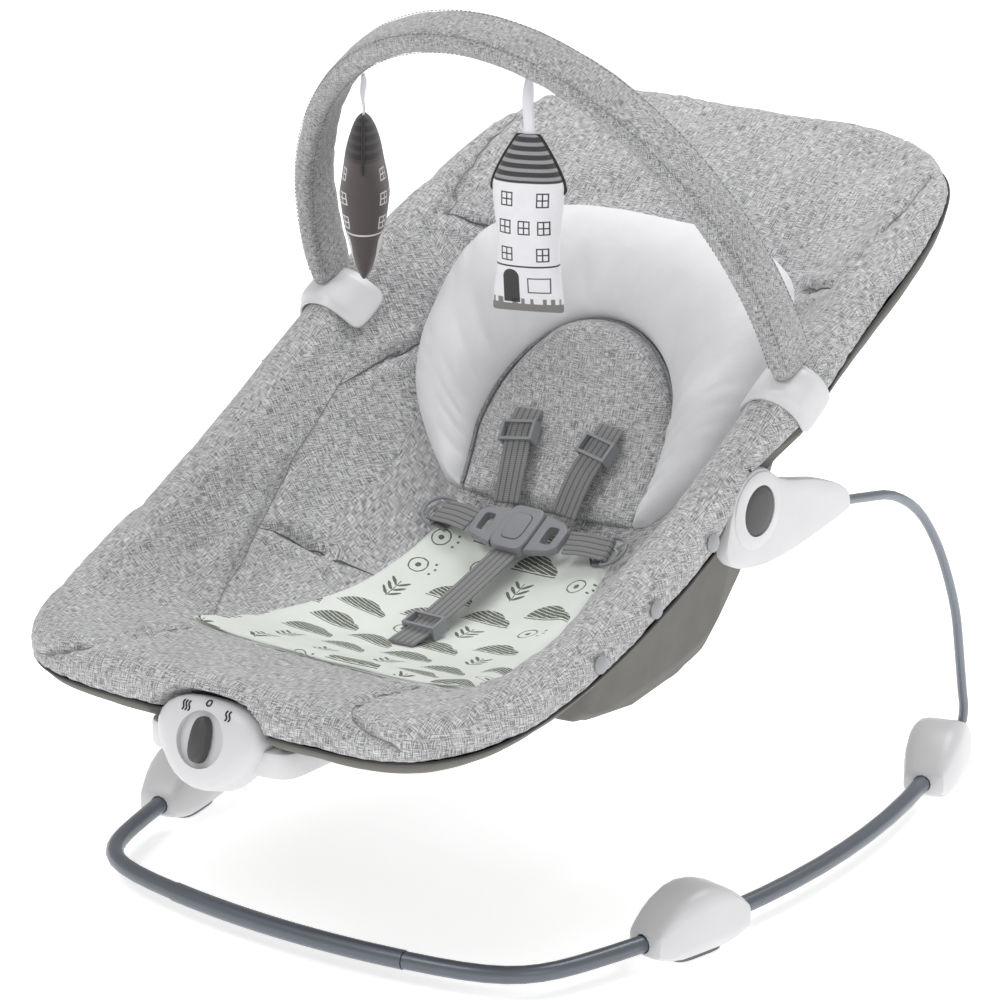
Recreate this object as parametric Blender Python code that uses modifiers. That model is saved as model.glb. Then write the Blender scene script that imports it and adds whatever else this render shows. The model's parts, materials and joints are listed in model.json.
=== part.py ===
"""Baby bouncer: a padded seat in a tube rim, carried by two bent spring rods on a floor loop.

Metres, +Z up. The foot end is toward -Y, the head end toward +Y and the floor is z = 0.
Run it with blender --background --python part.py, or from Blender's text editor.
"""

from math import asin, cos, pi, radians, sin, sqrt

import bmesh
import bpy
from mathutils import Matrix, Vector
from mathutils.bvhtree import BVHTree
from mathutils.geometry import interpolate_bezier

# Clearances, and how far the middle of the object lies from the seat's own datum
GAP = 0.0004
REST_GAP = 0.0009
ORIGIN_Y = 0.0319

# Half the width between the seat rim's middle lines, which the hubs and the toy bar follow
RIM_HALF_WIDTH = 0.2255

# Floor loop
TUBE_Z = 0.0205
SIDE_TUBE_DIAMETER = 0.0145
FRONT_BAR_DIAMETER = 0.016
FRONT_BAR_HALF_LENGTH = 0.116
FRONT_BAR_Y = -0.320
FRONT_BAR_BOW = 0.009
TRACK_HALF_WIDTH = 0.2705
TRACK_WIDEST_Y = 0.02
TRACK_BOW = 0.62
CORNER_END_Y = -0.20
CORNER_REACH = 0.10
SPIGOT_LENGTH = 0.014
SPIGOT_DIAMETER = 0.0105

# Feet
FOOT_LENGTH = 0.104
FOOT_HEIGHT = 0.058
FOOT_WIDTH = 0.048
FOOT_END_HEIGHT = 0.0195
FOOT_END_TAPER = 0.70
FOOT_CURVE = 2.0
FOOT_FLAT = 0.5
FOOT_PAD_THICKNESS = 0.003
FOOT_PAD_LENGTH = 0.052
FOOT_PAD_WIDTH = 0.028
FRONT_FOOT_Y = -0.125
REAR_FOOT_Y = 0.292
REAR_TUBE_END = 0.012

# Spring rods, with the bend's shape as shares of the way from foot to arm in x, y and z
ROD_DIAMETER = 0.0082
ROD_STUB = 0.030
ROD_HOLE_SLACK = 0.0016
ROD_MOUTH_SLACK = 0.0007
ROD_BEND = ((-0.010, -0.088, 0.030), (0.060, -0.092, 0.090), (0.122, -0.064, 0.152), (0.277, 0.000, 0.302),
            (0.432, 0.071, 0.451), (0.594, 0.184, 0.608), (0.726, 0.302, 0.735),
            (0.850, 0.456, 0.855), (0.940, 0.654, 0.942), (0.975, 0.850, 0.978))

# Hubs and pivot arms. The arm's outline is measured back and up from the hub's middle
HUB_Y = -0.015
HUB_Z = 0.334
HUB_RADIUS = 0.0345
ARM_INNER_X = RIM_HALF_WIDTH + 0.0035
ARM_THICKNESS = 0.0125
ARM_EDGE = 0.003
ARM_TOP = ((0.136, -0.026), (0.131, -0.0165), (0.112, -0.006), (0.085, 0.004), (0.055, 0.0115), (0.032, 0.019))
ARM_BOTTOM = ((-0.0400, -0.014), (-0.0395, -0.031), (-0.022, -0.043), (0.012, -0.049), (0.055, -0.0475),
              (0.098, -0.0415), (0.128, -0.0365), (0.136, -0.033))
ARM_HUB_ANGLES = (68, 95, 122, 150)
ARM_TAIL = (0.137, -0.0295)
ARM_ROD_DEPTH = 0.014
DOME_RADIUS = 0.0325
DOME_HEIGHT = 0.0025
BUTTON_RADIUS = 0.0205
BUTTON_PROUD = 0.001
BUTTON_SEAT_DEPTH = 0.005
BUTTON_TRAVEL = 0.003
PIN_DIAMETER = 0.010
PIN_IN_ARM = 0.0060
BRACKET_OUTER_X = RIM_HALF_WIDTH + 0.0020
BRACKET_THICKNESS = 0.0135
BRACKET_HALF_WIDTH = 0.011
SCALLOP_RADIUS = 0.0385

# Seat rim
RIM_FRONT_Y = -0.383
RIM_TOP_Y = 0.333
RIM_SQUARENESS = 7.0
RIM_CORNER_WEIGHT = 0.07
RIM_FRONT_NARROWING = 0.10
RIM_TOP_NARROWING = 0.20
RIM_TUBE_DIAMETER = 0.016
RIM_TUBE_OFFSET = (-0.006, 0.006)
RIM_SIDE_PROFILE = ((-0.385, 0.230), (-0.30, 0.246), (-0.20, 0.276), (-0.10, 0.319),
                    (0.0, 0.375), (0.10, 0.431), (0.20, 0.474), (0.30, 0.515), (0.335, 0.527))
ROLL_RADIUS = 0.024
ROLL_BORE = 0.0098
PIPING_ANGLES = ((-0.40, -58), (0.04, -58), (0.14, -18), (0.34, -12))
ROLL_END_ANGLES = ((-0.385, 108), (-0.33, 118), (-0.20, 148), (0.20, 148), (0.29, 125), (0.335, 108))

# Seat bowl along its middle
BOWL_PROFILE = ((-0.37, 0.251), (-0.30, 0.241), (-0.26, 0.228), (-0.20, 0.211), (-0.14, 0.205),
                (-0.08, 0.209), (-0.03, 0.224), (0.01, 0.247), (0.04, 0.272), (0.07, 0.308),
                (0.10, 0.352), (0.14, 0.410), (0.18, 0.456), (0.24, 0.505), (0.31, 0.542))
SPINE_FRONT_Y = -0.275
SPINE_TOP_Y = 0.215
BOWL_STEEPNESS = 3.3
COVER_THICKNESS = 0.013
UNDER_THICKNESS = 0.0022
UNDER_CLEARANCE = 0.0026
POUCH_FLOOR_Z = 0.152
POUCH_Y = -0.028
POUCH_FLAT = 0.050
POUCH_RISE = 8.0
POUCH_SHOULDER = 0.21
SEAT_STATIONS = 26

# Stiffening board in the pouch
BOARD_HALF_WIDTH = 0.100
BOARD_THICKNESS = 0.004

# Printed panel
PANEL_FRONT_Y = -0.262
PANEL_REAR_Y = 0.024
PANEL_FRONT_HALF_WIDTH = 0.137
PANEL_REAR_HALF_WIDTH = 0.086
PANEL_WAVE = 0.010
PANEL_THICKNESS = 0.0045

# Back pads, measured up the back from the crook of the seat
CROOK_Y = 0.036
PAD_HALF_WIDTH = 0.096
PAD_LOW_HALF_WIDTH = 0.086
PAD_SHOULDER = 0.060
PAD_TOP = 0.160
PAD_LOW_THICKNESS = 0.011
PAD_TOP_THICKNESS = 0.036
HEAD_HALF_WIDTH = 0.148
HEAD_SHOULDER = 0.105
HEAD_TOP = 0.268
HEAD_CURVE = 0.72
HEAD_TIP_HALF_WIDTH = 0.117
HEAD_THICKNESS = 0.042
PAD_SEAM = 0.0016

# Toy bar
BAR_LEAN = 114
BAR_FOOT = (0.052, 0.421)
BAR_HALF_WIDTH = RIM_HALF_WIDTH + 0.0165
BAR_TUCK = 0.045
BAR_HEIGHT = 0.306
SLEEVE_WIDTH = 0.050
SLEEVE_THICKNESS = 0.021
SLEEVE_END = 0.0205
CORE_WIDTH = 0.026
CORE_THICKNESS = 0.006
CORE_END = 0.0125
CLIP_LENGTH = 0.044
CLIP_WALL = 0.003
CLIP_DROP = 0.010
CLIP_SOCKET_INNER = 0.011
CLIP_SOCKET_TOP = 0.0312
CLIP_FLAP = (0.0130, 0.0155)

# Hanging toys: side, x, height, width, thickness, the way it faces and the ribbon's length
TOYS = (("dark", -0.125, 0.131, 0.064, 0.034, 126, 0.033),
        ("white", 0.052, 0.150, 0.060, 0.032, 22, 0.050))
RIBBON_WIDTH = 0.009
RIBBON_THICKNESS = 0.0016
RIBBON_DROP = 0.0008

# Harness
WEBBING_WIDTH = 0.025
WEBBING_THICKNESS = 0.0028
SHOULDER_X = 0.042
SHOULDER_SLOT = 0.078
BUCKLE_CENTRE = (0.0, -0.004, 0.2645)
BUCKLE_TILT = 30
BUCKLE_HALF_WIDTH = 0.045
BUCKLE_HEIGHT = 0.047
BUCKLE_THICKNESS = 0.013
BUCKLE_MIDDLE_HALF = 0.017
TONGUE_THICKNESS = 0.008
TONGUE_SLOT = (0.011, 0.019)
RELEASE_HALF = (0.0095, 0.014)
RELEASE_TRAVEL = 0.0015
RING_PLACE = (0.088, 0.012)
RING_LIFT = 0.0095
RING_RADIUS = 0.0155
RING_WIRE = 0.0032
SLIDER_LENGTH = 0.019
SLIDER_BAR = 0.0024
SLIDER_SLACK = 0.0021
CROTCH_SLOT_Y = -0.160
CROTCH_SLIDER_Y = -0.136

# Vibration unit under the foot end
UNIT_WIDTH = 0.098
UNIT_HEIGHT = 0.072
UNIT_DEPTH = 0.024
UNIT_CENTRE = (0.0, -0.404, 0.206)
UNIT_TILT = 19
UNIT_CORNERS = 0.08
DIAL_RADIUS = 0.0225
DIAL_FLOOR = 0.0065
KNOB_LENGTH = 0.037
KNOB_WIDTH = 0.018
KNOB_HEIGHT = 0.009
KNOB_SHAFT = 0.010
TRAY_HALF_WIDTH = 0.072
TRAY_LENGTH = 0.080
TRAY_BOTTOM_Z = 0.184
TRAY_TOP_Z = 0.206
DOOR_THICKNESS = 0.002

# Press studs along each side of the cover
STUD_RADIUS = 0.0075
STUD_THICKNESS = 0.0016
STUD_YS = (-0.228, -0.160, -0.083)

X_AXIS = Vector((1, 0, 0))
Y_AXIS = Vector((0, 1, 0))
Z_AXIS = Vector((0, 0, 1))


# Scene, materials and joint axes

def clear_scene():
    for obj in list(bpy.data.objects):
        bpy.data.objects.remove(obj, do_unlink=True)


def new_collection(name):
    made = bpy.data.collections.new(name)
    bpy.context.scene.collection.children.link(made)
    return made


def new_material(name, colour, roughness, metallic=0.0):
    made = bpy.data.materials.new(name)
    made.use_nodes = True
    shader = made.node_tree.nodes["Principled BSDF"]
    shader.inputs["Base Color"].default_value = (*colour, 1)
    shader.inputs["Roughness"].default_value = roughness
    shader.inputs["Metallic"].default_value = metallic
    return made


clear_scene()
PARTS = new_collection("baby_bouncer")
CUTTERS = new_collection("cutters")
MATERIALS = {
    "tube": new_material("satin_grey_tube", (0.17, 0.19, 0.21), 0.35, 0.8),
    "rod": new_material("spring_steel", (0.24, 0.26, 0.28), 0.3, 0.9),
    "shell": new_material("white_plastic", (0.78, 0.77, 0.78), 0.4),
    "button": new_material("dark_grey_plastic", (0.10, 0.10, 0.10), 0.5),
    "clip": new_material("mid_grey_plastic", (0.30, 0.31, 0.32), 0.45),
    "rubber": new_material("dark_rubber", (0.03, 0.03, 0.03), 0.8),
    "marl": new_material("grey_marl_cloth", (0.38, 0.38, 0.39), 0.95),
    "under": new_material("taupe_cloth", (0.13, 0.125, 0.115), 0.8),
    "white": new_material("white_cotton", (0.82, 0.82, 0.84), 0.9),
    "mint": new_material("mint_print_cotton", (0.74, 0.80, 0.73), 0.9),
    "webbing": new_material("grey_webbing", (0.22, 0.22, 0.23), 0.85),
    "toy": new_material("dark_toy_cloth", (0.10, 0.09, 0.085), 0.9),
    "steel": new_material("zinc_steel", (0.5, 0.5, 0.5), 0.35, 1.0),
    "board": new_material("board_plastic", (0.25, 0.25, 0.25), 0.6),
}
AXES = {"bouncer_origin": Vector((0, 0, 0))}
PARENTS = {}


def joint_axis(name, place, parent):
    """An empty on a joint's axis, for the pieces that move with it."""
    empty = bpy.data.objects.new(name, None)
    empty.empty_display_size = 0.03
    bpy.context.scene.collection.objects.link(empty)
    AXES[name] = Vector(place)
    empty.parent = bpy.data.objects[parent]
    empty.location = AXES[name] - AXES[parent]
    return name


def finish(obj, name, material, parent):
    """Name a piece, give it its material and note the axis that carries it."""
    obj.name = name
    obj.data.name = name
    obj.data.materials.clear()
    obj.data.materials.append(MATERIALS[material])
    PARENTS[name] = parent
    return obj


def hang_up():
    """Parent every piece to its axis, with its mesh left where it was made."""
    for obj in PARTS.objects:
        axis = PARENTS[obj.name]
        obj.parent = bpy.data.objects[axis]
        obj.matrix_parent_inverse = Matrix.Translation(-AXES[axis])
    for obj in CUTTERS.objects:
        obj.parent = bpy.data.objects["bouncer_origin"]


# Numbers and lines

def smooth_value(points, at):
    """The value at one place of a smooth curve through (place, value) pairs, straight beyond its ends."""
    slopes = []
    for i in range(len(points)):
        before, after = points[max(i - 1, 0)], points[min(i + 1, len(points) - 1)]
        slopes.append((after[1] - before[1]) / (after[0] - before[0]))
    if at <= points[0][0]:
        return points[0][1] + slopes[0] * (at - points[0][0])
    if at >= points[-1][0]:
        return points[-1][1] + slopes[-1] * (at - points[-1][0])
    i = max(k for k in range(len(points) - 1) if points[k][0] <= at)
    (x0, y0), (x1, y1) = points[i], points[i + 1]
    span = x1 - x0
    t = (at - x0) / span
    ends = y0 * (1 + 2 * t) * (1 - t) ** 2 + y1 * t * t * (3 - 2 * t)
    return ends + span * (slopes[i] * t * (1 - t) ** 2 + slopes[i + 1] * t * t * (t - 1))


def smooth_path(points, steps):
    """A Catmull-Rom curve through the points, as a list of Vectors."""
    nodes = [Vector(p) for p in points]
    nodes = [2 * nodes[0] - nodes[1], *nodes, 2 * nodes[-1] - nodes[-2]]
    path = []
    for a, b, c, d in zip(nodes, nodes[1:], nodes[2:], nodes[3:]):
        for k in range(steps):
            t = k / steps
            path.append(0.5 * (2 * b + (c - a) * t + (2 * a - 5 * b + 4 * c - d) * t * t
                               + (3 * b - a - 3 * c + d) * t ** 3))
    path.append(nodes[-2])
    return path


def evenly(points, count):
    """The polyline resampled at equal steps along its length."""
    lengths = [0.0]
    for a, b in zip(points, points[1:]):
        lengths.append(lengths[-1] + (b - a).length)
    out = []
    k = 0
    for i in range(count):
        want = lengths[-1] * i / (count - 1)
        while k < len(lengths) - 2 and lengths[k + 1] < want:
            k += 1
        share = (want - lengths[k]) / (lengths[k + 1] - lengths[k])
        out.append(points[k].lerp(points[k + 1], share))
    return out


def between(a, b, count):
    """Numbers evenly spaced from a to b."""
    return [a + (b - a) * i / (count - 1) for i in range(count)]


def signed_power(value, power):
    return abs(value) ** power if value >= 0 else -abs(value) ** power


def rounded_rectangle(half_width, half_height, squareness, count):
    """Points round a superellipse, anticlockwise."""
    out = []
    for i in range(count):
        angle = 2 * pi * (i + 0.5) / count
        out.append((half_width * signed_power(cos(angle), 2 / squareness),
                    half_height * signed_power(sin(angle), 2 / squareness)))
    return out


def smoothstep(value):
    value = min(max(value, 0.0), 1.0)
    return value * value * (3 - 2 * value)


def frame_at(centre, across, up):
    """A placing matrix: local X is across, local Z is up, and Y completes them."""
    x = Vector(across).normalized()
    z = Vector(up)
    z = (z - x * z.dot(x)).normalized()
    turn = Matrix((x, z.cross(x), z)).transposed().to_4x4()
    return Matrix.Translation(Vector(centre)) @ turn


# Solids

def link(name, data):
    obj = bpy.data.objects.new(name, data)
    PARTS.objects.link(obj)
    return obj


def round_off(obj, sharp=40):
    obj.data.shade_smooth()
    obj.data.set_sharp_from_angle(angle=radians(sharp))
    return obj


def mesh_object(name, verts, faces, outward=True):
    """A mesh object whose double points are joined."""
    mesh = bpy.data.meshes.new(name)
    mesh.from_pydata([tuple(v) for v in verts], [], faces)
    work = bmesh.new()
    work.from_mesh(mesh)
    bmesh.ops.remove_doubles(work, verts=work.verts, dist=1e-6)
    if outward:
        bmesh.ops.recalc_face_normals(work, faces=work.faces)
    work.to_mesh(mesh)
    work.free()
    return round_off(link(name, mesh))


def loft(name, rings, caps=True):
    """Skin between closed rings that have the same number of points."""
    count = len(rings[0])
    verts = [point for ring in rings for point in ring]
    faces = []
    for i in range(len(rings) - 1):
        for j in range(count):
            k = (j + 1) % count
            faces.append((i * count + j, i * count + k, (i + 1) * count + k, (i + 1) * count + j))
    if caps:
        faces.append(tuple(range(count)))
        faces.append(tuple((len(rings) - 1) * count + j for j in range(count)))
    return mesh_object(name, verts, faces)


def shown_mesh(obj, name):
    """A mesh copy of the object as it shows, with loose caps welded."""
    bpy.context.view_layer.update()
    graph = bpy.context.evaluated_depsgraph_get()
    mesh = bpy.data.meshes.new_from_object(obj.evaluated_get(graph))
    mesh.name = name
    work = bmesh.new()
    work.from_mesh(mesh)
    bmesh.ops.remove_doubles(work, verts=work.verts, dist=1e-6)
    work.to_mesh(mesh)
    work.free()
    return mesh


def as_mesh(obj):
    """The object made a plain mesh object of the same name."""
    name = obj.name
    mesh = shown_mesh(obj, name)
    bpy.data.objects.remove(obj, do_unlink=True)
    return link(name, mesh)


def swept_tube(name, points, diameter, resolution=4, cyclic=False):
    """A round bar along the points."""
    curve = bpy.data.curves.new(name, "CURVE")
    curve.dimensions = "3D"
    curve.bevel_depth = diameter / 2
    curve.bevel_resolution = resolution
    curve.use_fill_caps = not cyclic
    spline = curve.splines.new("POLY")
    spline.points.add(len(points) - 1)
    spline.use_smooth = True
    spline.use_cyclic_u = cyclic
    for target, point in zip(spline.points, points):
        target.co = (*point, 1)
    return link(name, curve)


def swept_section(name, path, sides, section):
    """A closed section carried along a path, its width laid along the given directions."""
    rings = []
    for i, point in enumerate(path):
        ahead = path[min(i + 1, len(path) - 1)] - path[max(i - 1, 0)]
        across = (sides[i] - ahead * (sides[i].dot(ahead) / ahead.length_squared)).normalized()
        up = across.cross(ahead).normalized()
        rings.append([point + across * u + up * v for u, v in section])
    return loft(name, rings)


def turned(name, profile, centre, axis, steps=28):
    """A solid of revolution. Its profile of (radius, height) runs from the top down the outer side."""
    mesh = bpy.data.meshes.new(name)
    verts = [(radius, 0, height) for radius, height in profile]
    mesh.from_pydata(verts, [(i, i + 1) for i in range(len(verts) - 1)], [])
    obj = link(name, mesh)
    screw = obj.modifiers.new("turn", "SCREW")
    screw.steps = steps
    screw.render_steps = steps
    screw.use_merge_vertices = True
    screw.merge_threshold = 0.00001
    made = as_mesh(obj)
    turn = Z_AXIS.rotation_difference(Vector(axis)).to_matrix().to_4x4()
    made.data.transform(Matrix.Translation(Vector(centre)) @ turn)
    return round_off(made)


def disc(name, radius, low, high, centre, axis, edge=0.0004, steps=28):
    """A short cylinder from low to high along its axis, with its edges broken."""
    profile = ((0, high), (radius - edge, high), (radius, high - edge),
               (radius, low + edge), (radius - edge, low), (0, low))
    return turned(name, profile, centre, axis, steps)


def slab(name, outline, low, high, frame, bevel=0.0, segments=2):
    """An outline in the frame's XY plane, raised from low to high along the frame's Z."""
    work = bmesh.new()
    face = work.faces.new([work.verts.new((x, y, low)) for x, y in outline])
    raised = bmesh.ops.extrude_face_region(work, geom=[face])
    top = [v for v in raised["geom"] if isinstance(v, bmesh.types.BMVert)]
    bmesh.ops.translate(work, verts=top, vec=(0, 0, high - low))
    bmesh.ops.recalc_face_normals(work, faces=work.faces)
    if bevel:
        rims = [e for e in work.edges if abs(e.verts[0].co.z - e.verts[1].co.z) < 1e-7]
        bmesh.ops.bevel(work, geom=rims, offset=bevel, segments=segments, profile=0.5,
                        affect="EDGES", clamp_overlap=True)
    mesh = bpy.data.meshes.new(name)
    work.to_mesh(mesh)
    work.free()
    mesh.transform(frame)
    return round_off(link(name, mesh))


def block(name, size, frame, bevel=0.0):
    """A box of the given size, centred in the frame."""
    half_x, half_y, half_z = (side / 2 for side in size)
    corners = ((half_x, half_y), (-half_x, half_y), (-half_x, -half_y), (half_x, -half_y))
    return slab(name, corners, -half_z, half_z, frame, bevel)


def combine(obj, tool, operation):
    """Add a Boolean with the tool, which moves to the cutters."""
    PARTS.objects.unlink(tool)
    CUTTERS.objects.link(tool)
    tool.hide_render = True
    tool.display_type = "WIRE"
    step = obj.modifiers.new(tool.name, "BOOLEAN")
    step.operation = operation
    step.solver = "EXACT"
    step.object = tool


def cut(obj, *tools):
    for tool in tools:
        combine(obj, as_mesh(tool) if tool.type == "CURVE" else tool, "DIFFERENCE")
    return obj


def join(obj, *tools):
    for tool in tools:
        combine(obj, tool, "UNION")
    return obj


def mirrored_half(obj):
    """Complete a half that is open at the middle plane."""
    mirror = obj.modifiers.new("mirror", "MIRROR")
    mirror.use_axis = (True, False, False)
    mirror.use_clip = True
    mirror.merge_threshold = 0.00002
    return obj


def pair(obj, name, material, parent, left_parent=None):
    """Finish the right-hand piece and add its mirror image as a piece of its own."""
    obj.name = name + "_right"
    right = as_mesh(obj)
    finish(right, name + "_right", material, parent)
    mesh = shown_mesh(right, name + "_left")
    mesh.transform(Matrix.Scale(-1, 4, X_AXIS))
    mesh.flip_normals()
    finish(link(name + "_left", mesh), name + "_left", material, left_parent or parent)
    return right


# Floor loop

def track_x(y):
    """Half the distance between the side tubes at y."""
    return TRACK_HALF_WIDTH - TRACK_BOW * (y - TRACK_WIDEST_Y) ** 2


def track_point(y):
    return Vector((track_x(y), y, TUBE_Z))


def track_direction(y):
    return Vector((-2 * TRACK_BOW * (y - TRACK_WIDEST_Y), 1, 0)).normalized()


def bar_point(x):
    return Vector((x, FRONT_BAR_Y + FRONT_BAR_BOW * (x / FRONT_BAR_HALF_LENGTH) ** 2, TUBE_Z))


def bar_end_direction():
    return Vector((FRONT_BAR_HALF_LENGTH, 2 * FRONT_BAR_BOW, 0)).normalized()


def side_tube_path():
    """From the joint with the front bar, round the corner and back to the rear foot."""
    start = bar_point(FRONT_BAR_HALF_LENGTH)
    end = track_point(CORNER_END_Y)
    reach = CORNER_REACH
    leaving = start + bar_end_direction() * reach
    arriving = end - track_direction(CORNER_END_Y) * 0.8 * reach
    corner = interpolate_bezier(start, leaving, arriving, end, 11)
    rear = REAR_FOOT_Y - REAR_TUBE_END
    return [*corner, *(track_point(y) for y in between(CORNER_END_Y, rear, 13)[1:])]


def make_front_bar():
    points = [bar_point(x) for x in between(-FRONT_BAR_HALF_LENGTH + GAP, FRONT_BAR_HALF_LENGTH - GAP, 15)]
    bar = as_mesh(swept_tube("front_bar", points, FRONT_BAR_DIAMETER))
    for side in (1, -1):
        end = bar_point(side * FRONT_BAR_HALF_LENGTH)
        along = bar_end_direction()
        along.x *= side
        bore = swept_tube("front_bar_bore_" + ("right" if side > 0 else "left"),
                          [end - along * (SPIGOT_LENGTH + GAP), end + along * 0.01],
                          SPIGOT_DIAMETER + 3 * GAP)
        cut(bar, bore)
    return finish(bar, "front_bar", "tube", "bouncer_origin")


def make_side_tubes():
    path = side_tube_path()
    tube = as_mesh(swept_tube("side_tube", path, SIDE_TUBE_DIAMETER))
    along = bar_end_direction()
    spigot = as_mesh(swept_tube("side_tube_spigot", [path[0] - along * SPIGOT_LENGTH, path[0] + along * 0.006],
                                SPIGOT_DIAMETER))
    join(tube, spigot)
    pair(tube, "side_tube", "tube", "bouncer_origin")


def foot_section(share):
    """The foot's half width, bottom and top at a share of its half length: an almond, flat below."""
    end_low, end_high = TUBE_Z - FOOT_END_HEIGHT / 2, TUBE_Z + FOOT_END_HEIGHT / 2
    floor = FOOT_PAD_THICKNESS + GAP
    beyond = max(abs(share) - FOOT_FLAT, 0) / (1 - FOOT_FLAT)
    low = floor + (end_low - floor) * beyond ** 1.5
    high = end_high + (FOOT_HEIGHT - end_high) * (1 - abs(share) ** FOOT_CURVE)
    half = FOOT_WIDTH / 2 * (1 - (1 - FOOT_END_TAPER) * abs(share) ** 2.4)
    return half, low, high


def foot_rings(frame):
    rings = []
    for share in (-1, -0.97, -0.86, -0.70, -0.50, -0.25, 0, 0.25, 0.50, 0.70, 0.86, 0.97, 1):
        half, low, high = foot_section(share)
        inset = 0.86 if abs(share) == 1 else 1
        ring = []
        for u, v in rounded_rectangle(half * inset, (high - low) / 2 * inset, 4.4, 16):
            ring.append(frame @ Vector((share * FOOT_LENGTH / 2, (low + high) / 2 + v, u)))
        rings.append(ring)
    return rings


def foot_frame(y):
    """Local X runs along the tube, Y up and Z across, on the floor under the tube."""
    along = track_direction(y)
    across = along.cross(Z_AXIS)
    turn = Matrix((along, Z_AXIS, across)).transposed().to_4x4()
    return Matrix.Translation((track_x(y), y, 0)) @ turn


def make_foot(name, y, tube_points, extra_cutters):
    frame = foot_frame(y)
    foot = loft(name, foot_rings(frame))
    bore = swept_tube(name + "_bore", tube_points, SIDE_TUBE_DIAMETER + 3 * GAP, 4)
    cut(foot, bore, *extra_cutters)
    pair(foot, name, "shell", "bouncer_origin")
    outline = rounded_rectangle(FOOT_PAD_LENGTH / 2 - 0.001, FOOT_PAD_WIDTH / 2, 4, 20)
    flat = Matrix.Translation((track_x(y), y, 0)) @ track_direction(y).to_track_quat("X", "Z").to_matrix().to_4x4()
    pad = slab(name + "_pad", outline, 0, FOOT_PAD_THICKNESS, flat)
    pair(pad, name + "_pad", "rubber", "bouncer_origin")


def make_feet():
    half = FOOT_LENGTH / 2 + 0.012
    through = [track_point(y) for y in between(FRONT_FOOT_Y - half, FRONT_FOOT_Y + half, 6)]
    make_foot("front_foot", FRONT_FOOT_Y, through, [])
    blind_end = REAR_FOOT_Y - REAR_TUBE_END + GAP
    blind = [track_point(y) for y in between(REAR_FOOT_Y - half, blind_end, 6)]
    rod = rod_path()[:ROD_HOLE_POINTS]
    mouth = swept_tube("rear_foot_rod_mouth", rod, ROD_DIAMETER + 2 * ROD_MOUTH_SLACK, 4)
    deep = [rod[0] + (rod[0] - rod[1]).normalized() * 0.004, rod[0], rod[0].lerp(rod[ROD_STEPS], 0.6)]
    rod_hole = swept_tube("rear_foot_rod_hole", deep, ROD_DIAMETER + 2 * ROD_HOLE_SLACK, 4)
    make_foot("rear_foot", REAR_FOOT_Y, blind, [rod_hole, mouth])


# Spring rods

ROD_STEPS = 3
ROD_HOLE_POINTS = 7


def rod_exit():
    """The end of the tube's line, where the rod leaves the rear foot."""
    y = REAR_FOOT_Y + FOOT_LENGTH * 0.42
    return track_point(y) + Vector((0, 0, 0.003))


def arm_tip():
    """Where the rod goes into the tail of the arm."""
    return Vector((ARM_INNER_X + ARM_THICKNESS / 2, HUB_Y + ARM_TAIL[0], HUB_Z + ARM_TAIL[1]))


def rod_path():
    """From inside the rear foot up the bend and forward into the arm."""
    leave, reach = rod_exit(), arm_tip()
    span = reach - leave
    inside = track_point(leave.y - ROD_STUB / 2)
    bend = [leave + Vector((span.x * a, span.y * b, span.z * c)) for a, b, c in ROD_BEND]
    end = reach + Vector((0, -ARM_ROD_DEPTH, 0.003))
    return smooth_path([inside, leave, *bend, reach, end], ROD_STEPS)


def make_rods():
    rod = swept_tube("spring_rod", rod_path(), ROD_DIAMETER, 3)
    pair(as_mesh(rod), "spring_rod", "rod", "bounce_axis")


# Pivot arms, hubs and buttons

def arm_outline():
    """Side view of the arm about the hub: a disc that runs into a drooping leaf."""
    hub = [(HUB_RADIUS * cos(radians(a)), HUB_RADIUS * sin(radians(a))) for a in ARM_HUB_ANGLES]
    points = [(*p, 0) for p in [*ARM_TOP, *hub, *ARM_BOTTOM]]
    return [(p.x, p.y) for p in smooth_path([*points, points[0]], 2)[:-1]]


def hub_frame(x):
    """Local X runs back, Y up and Z outward, at the hub's centre."""
    turn = Matrix((Y_AXIS, Z_AXIS, X_AXIS)).transposed().to_4x4()
    return Matrix.Translation((x, HUB_Y, HUB_Z)) @ turn


def dome_profile():
    """The raised ring round the button, from its middle down its rounded side into the arm."""
    return ((0, DOME_HEIGHT), (DOME_RADIUS * 0.72, DOME_HEIGHT), (DOME_RADIUS * 0.88, DOME_HEIGHT * 0.8),
            (DOME_RADIUS * 0.97, DOME_HEIGHT * 0.4), (DOME_RADIUS, -0.001), (DOME_RADIUS, -0.004), (0, -0.004))


def make_arms():
    outer = ARM_INNER_X + ARM_THICKNESS
    arm = slab("pivot_arm", arm_outline(), 0, ARM_THICKNESS, hub_frame(ARM_INNER_X), ARM_EDGE, 2)
    join(arm, turned("arm_dome", dome_profile(), (outer, HUB_Y, HUB_Z), X_AXIS, 30))
    recess = disc("arm_recess", BUTTON_RADIUS + GAP, -BUTTON_SEAT_DEPTH, DOME_HEIGHT + 0.01,
                  (outer, HUB_Y, HUB_Z), X_AXIS)
    pin_bore = disc("arm_pin_bore", PIN_DIAMETER / 2 + GAP, -0.01, PIN_IN_ARM + GAP,
                    (ARM_INNER_X, HUB_Y, HUB_Z), X_AXIS, steps=20)
    rod_bore = swept_tube("arm_rod_bore", rod_path()[-6:], ROD_DIAMETER + 3 * GAP, 3)
    cut(arm, recess, pin_bore, rod_bore)
    pair(arm, "pivot_arm", "shell", "bounce_axis")


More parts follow.
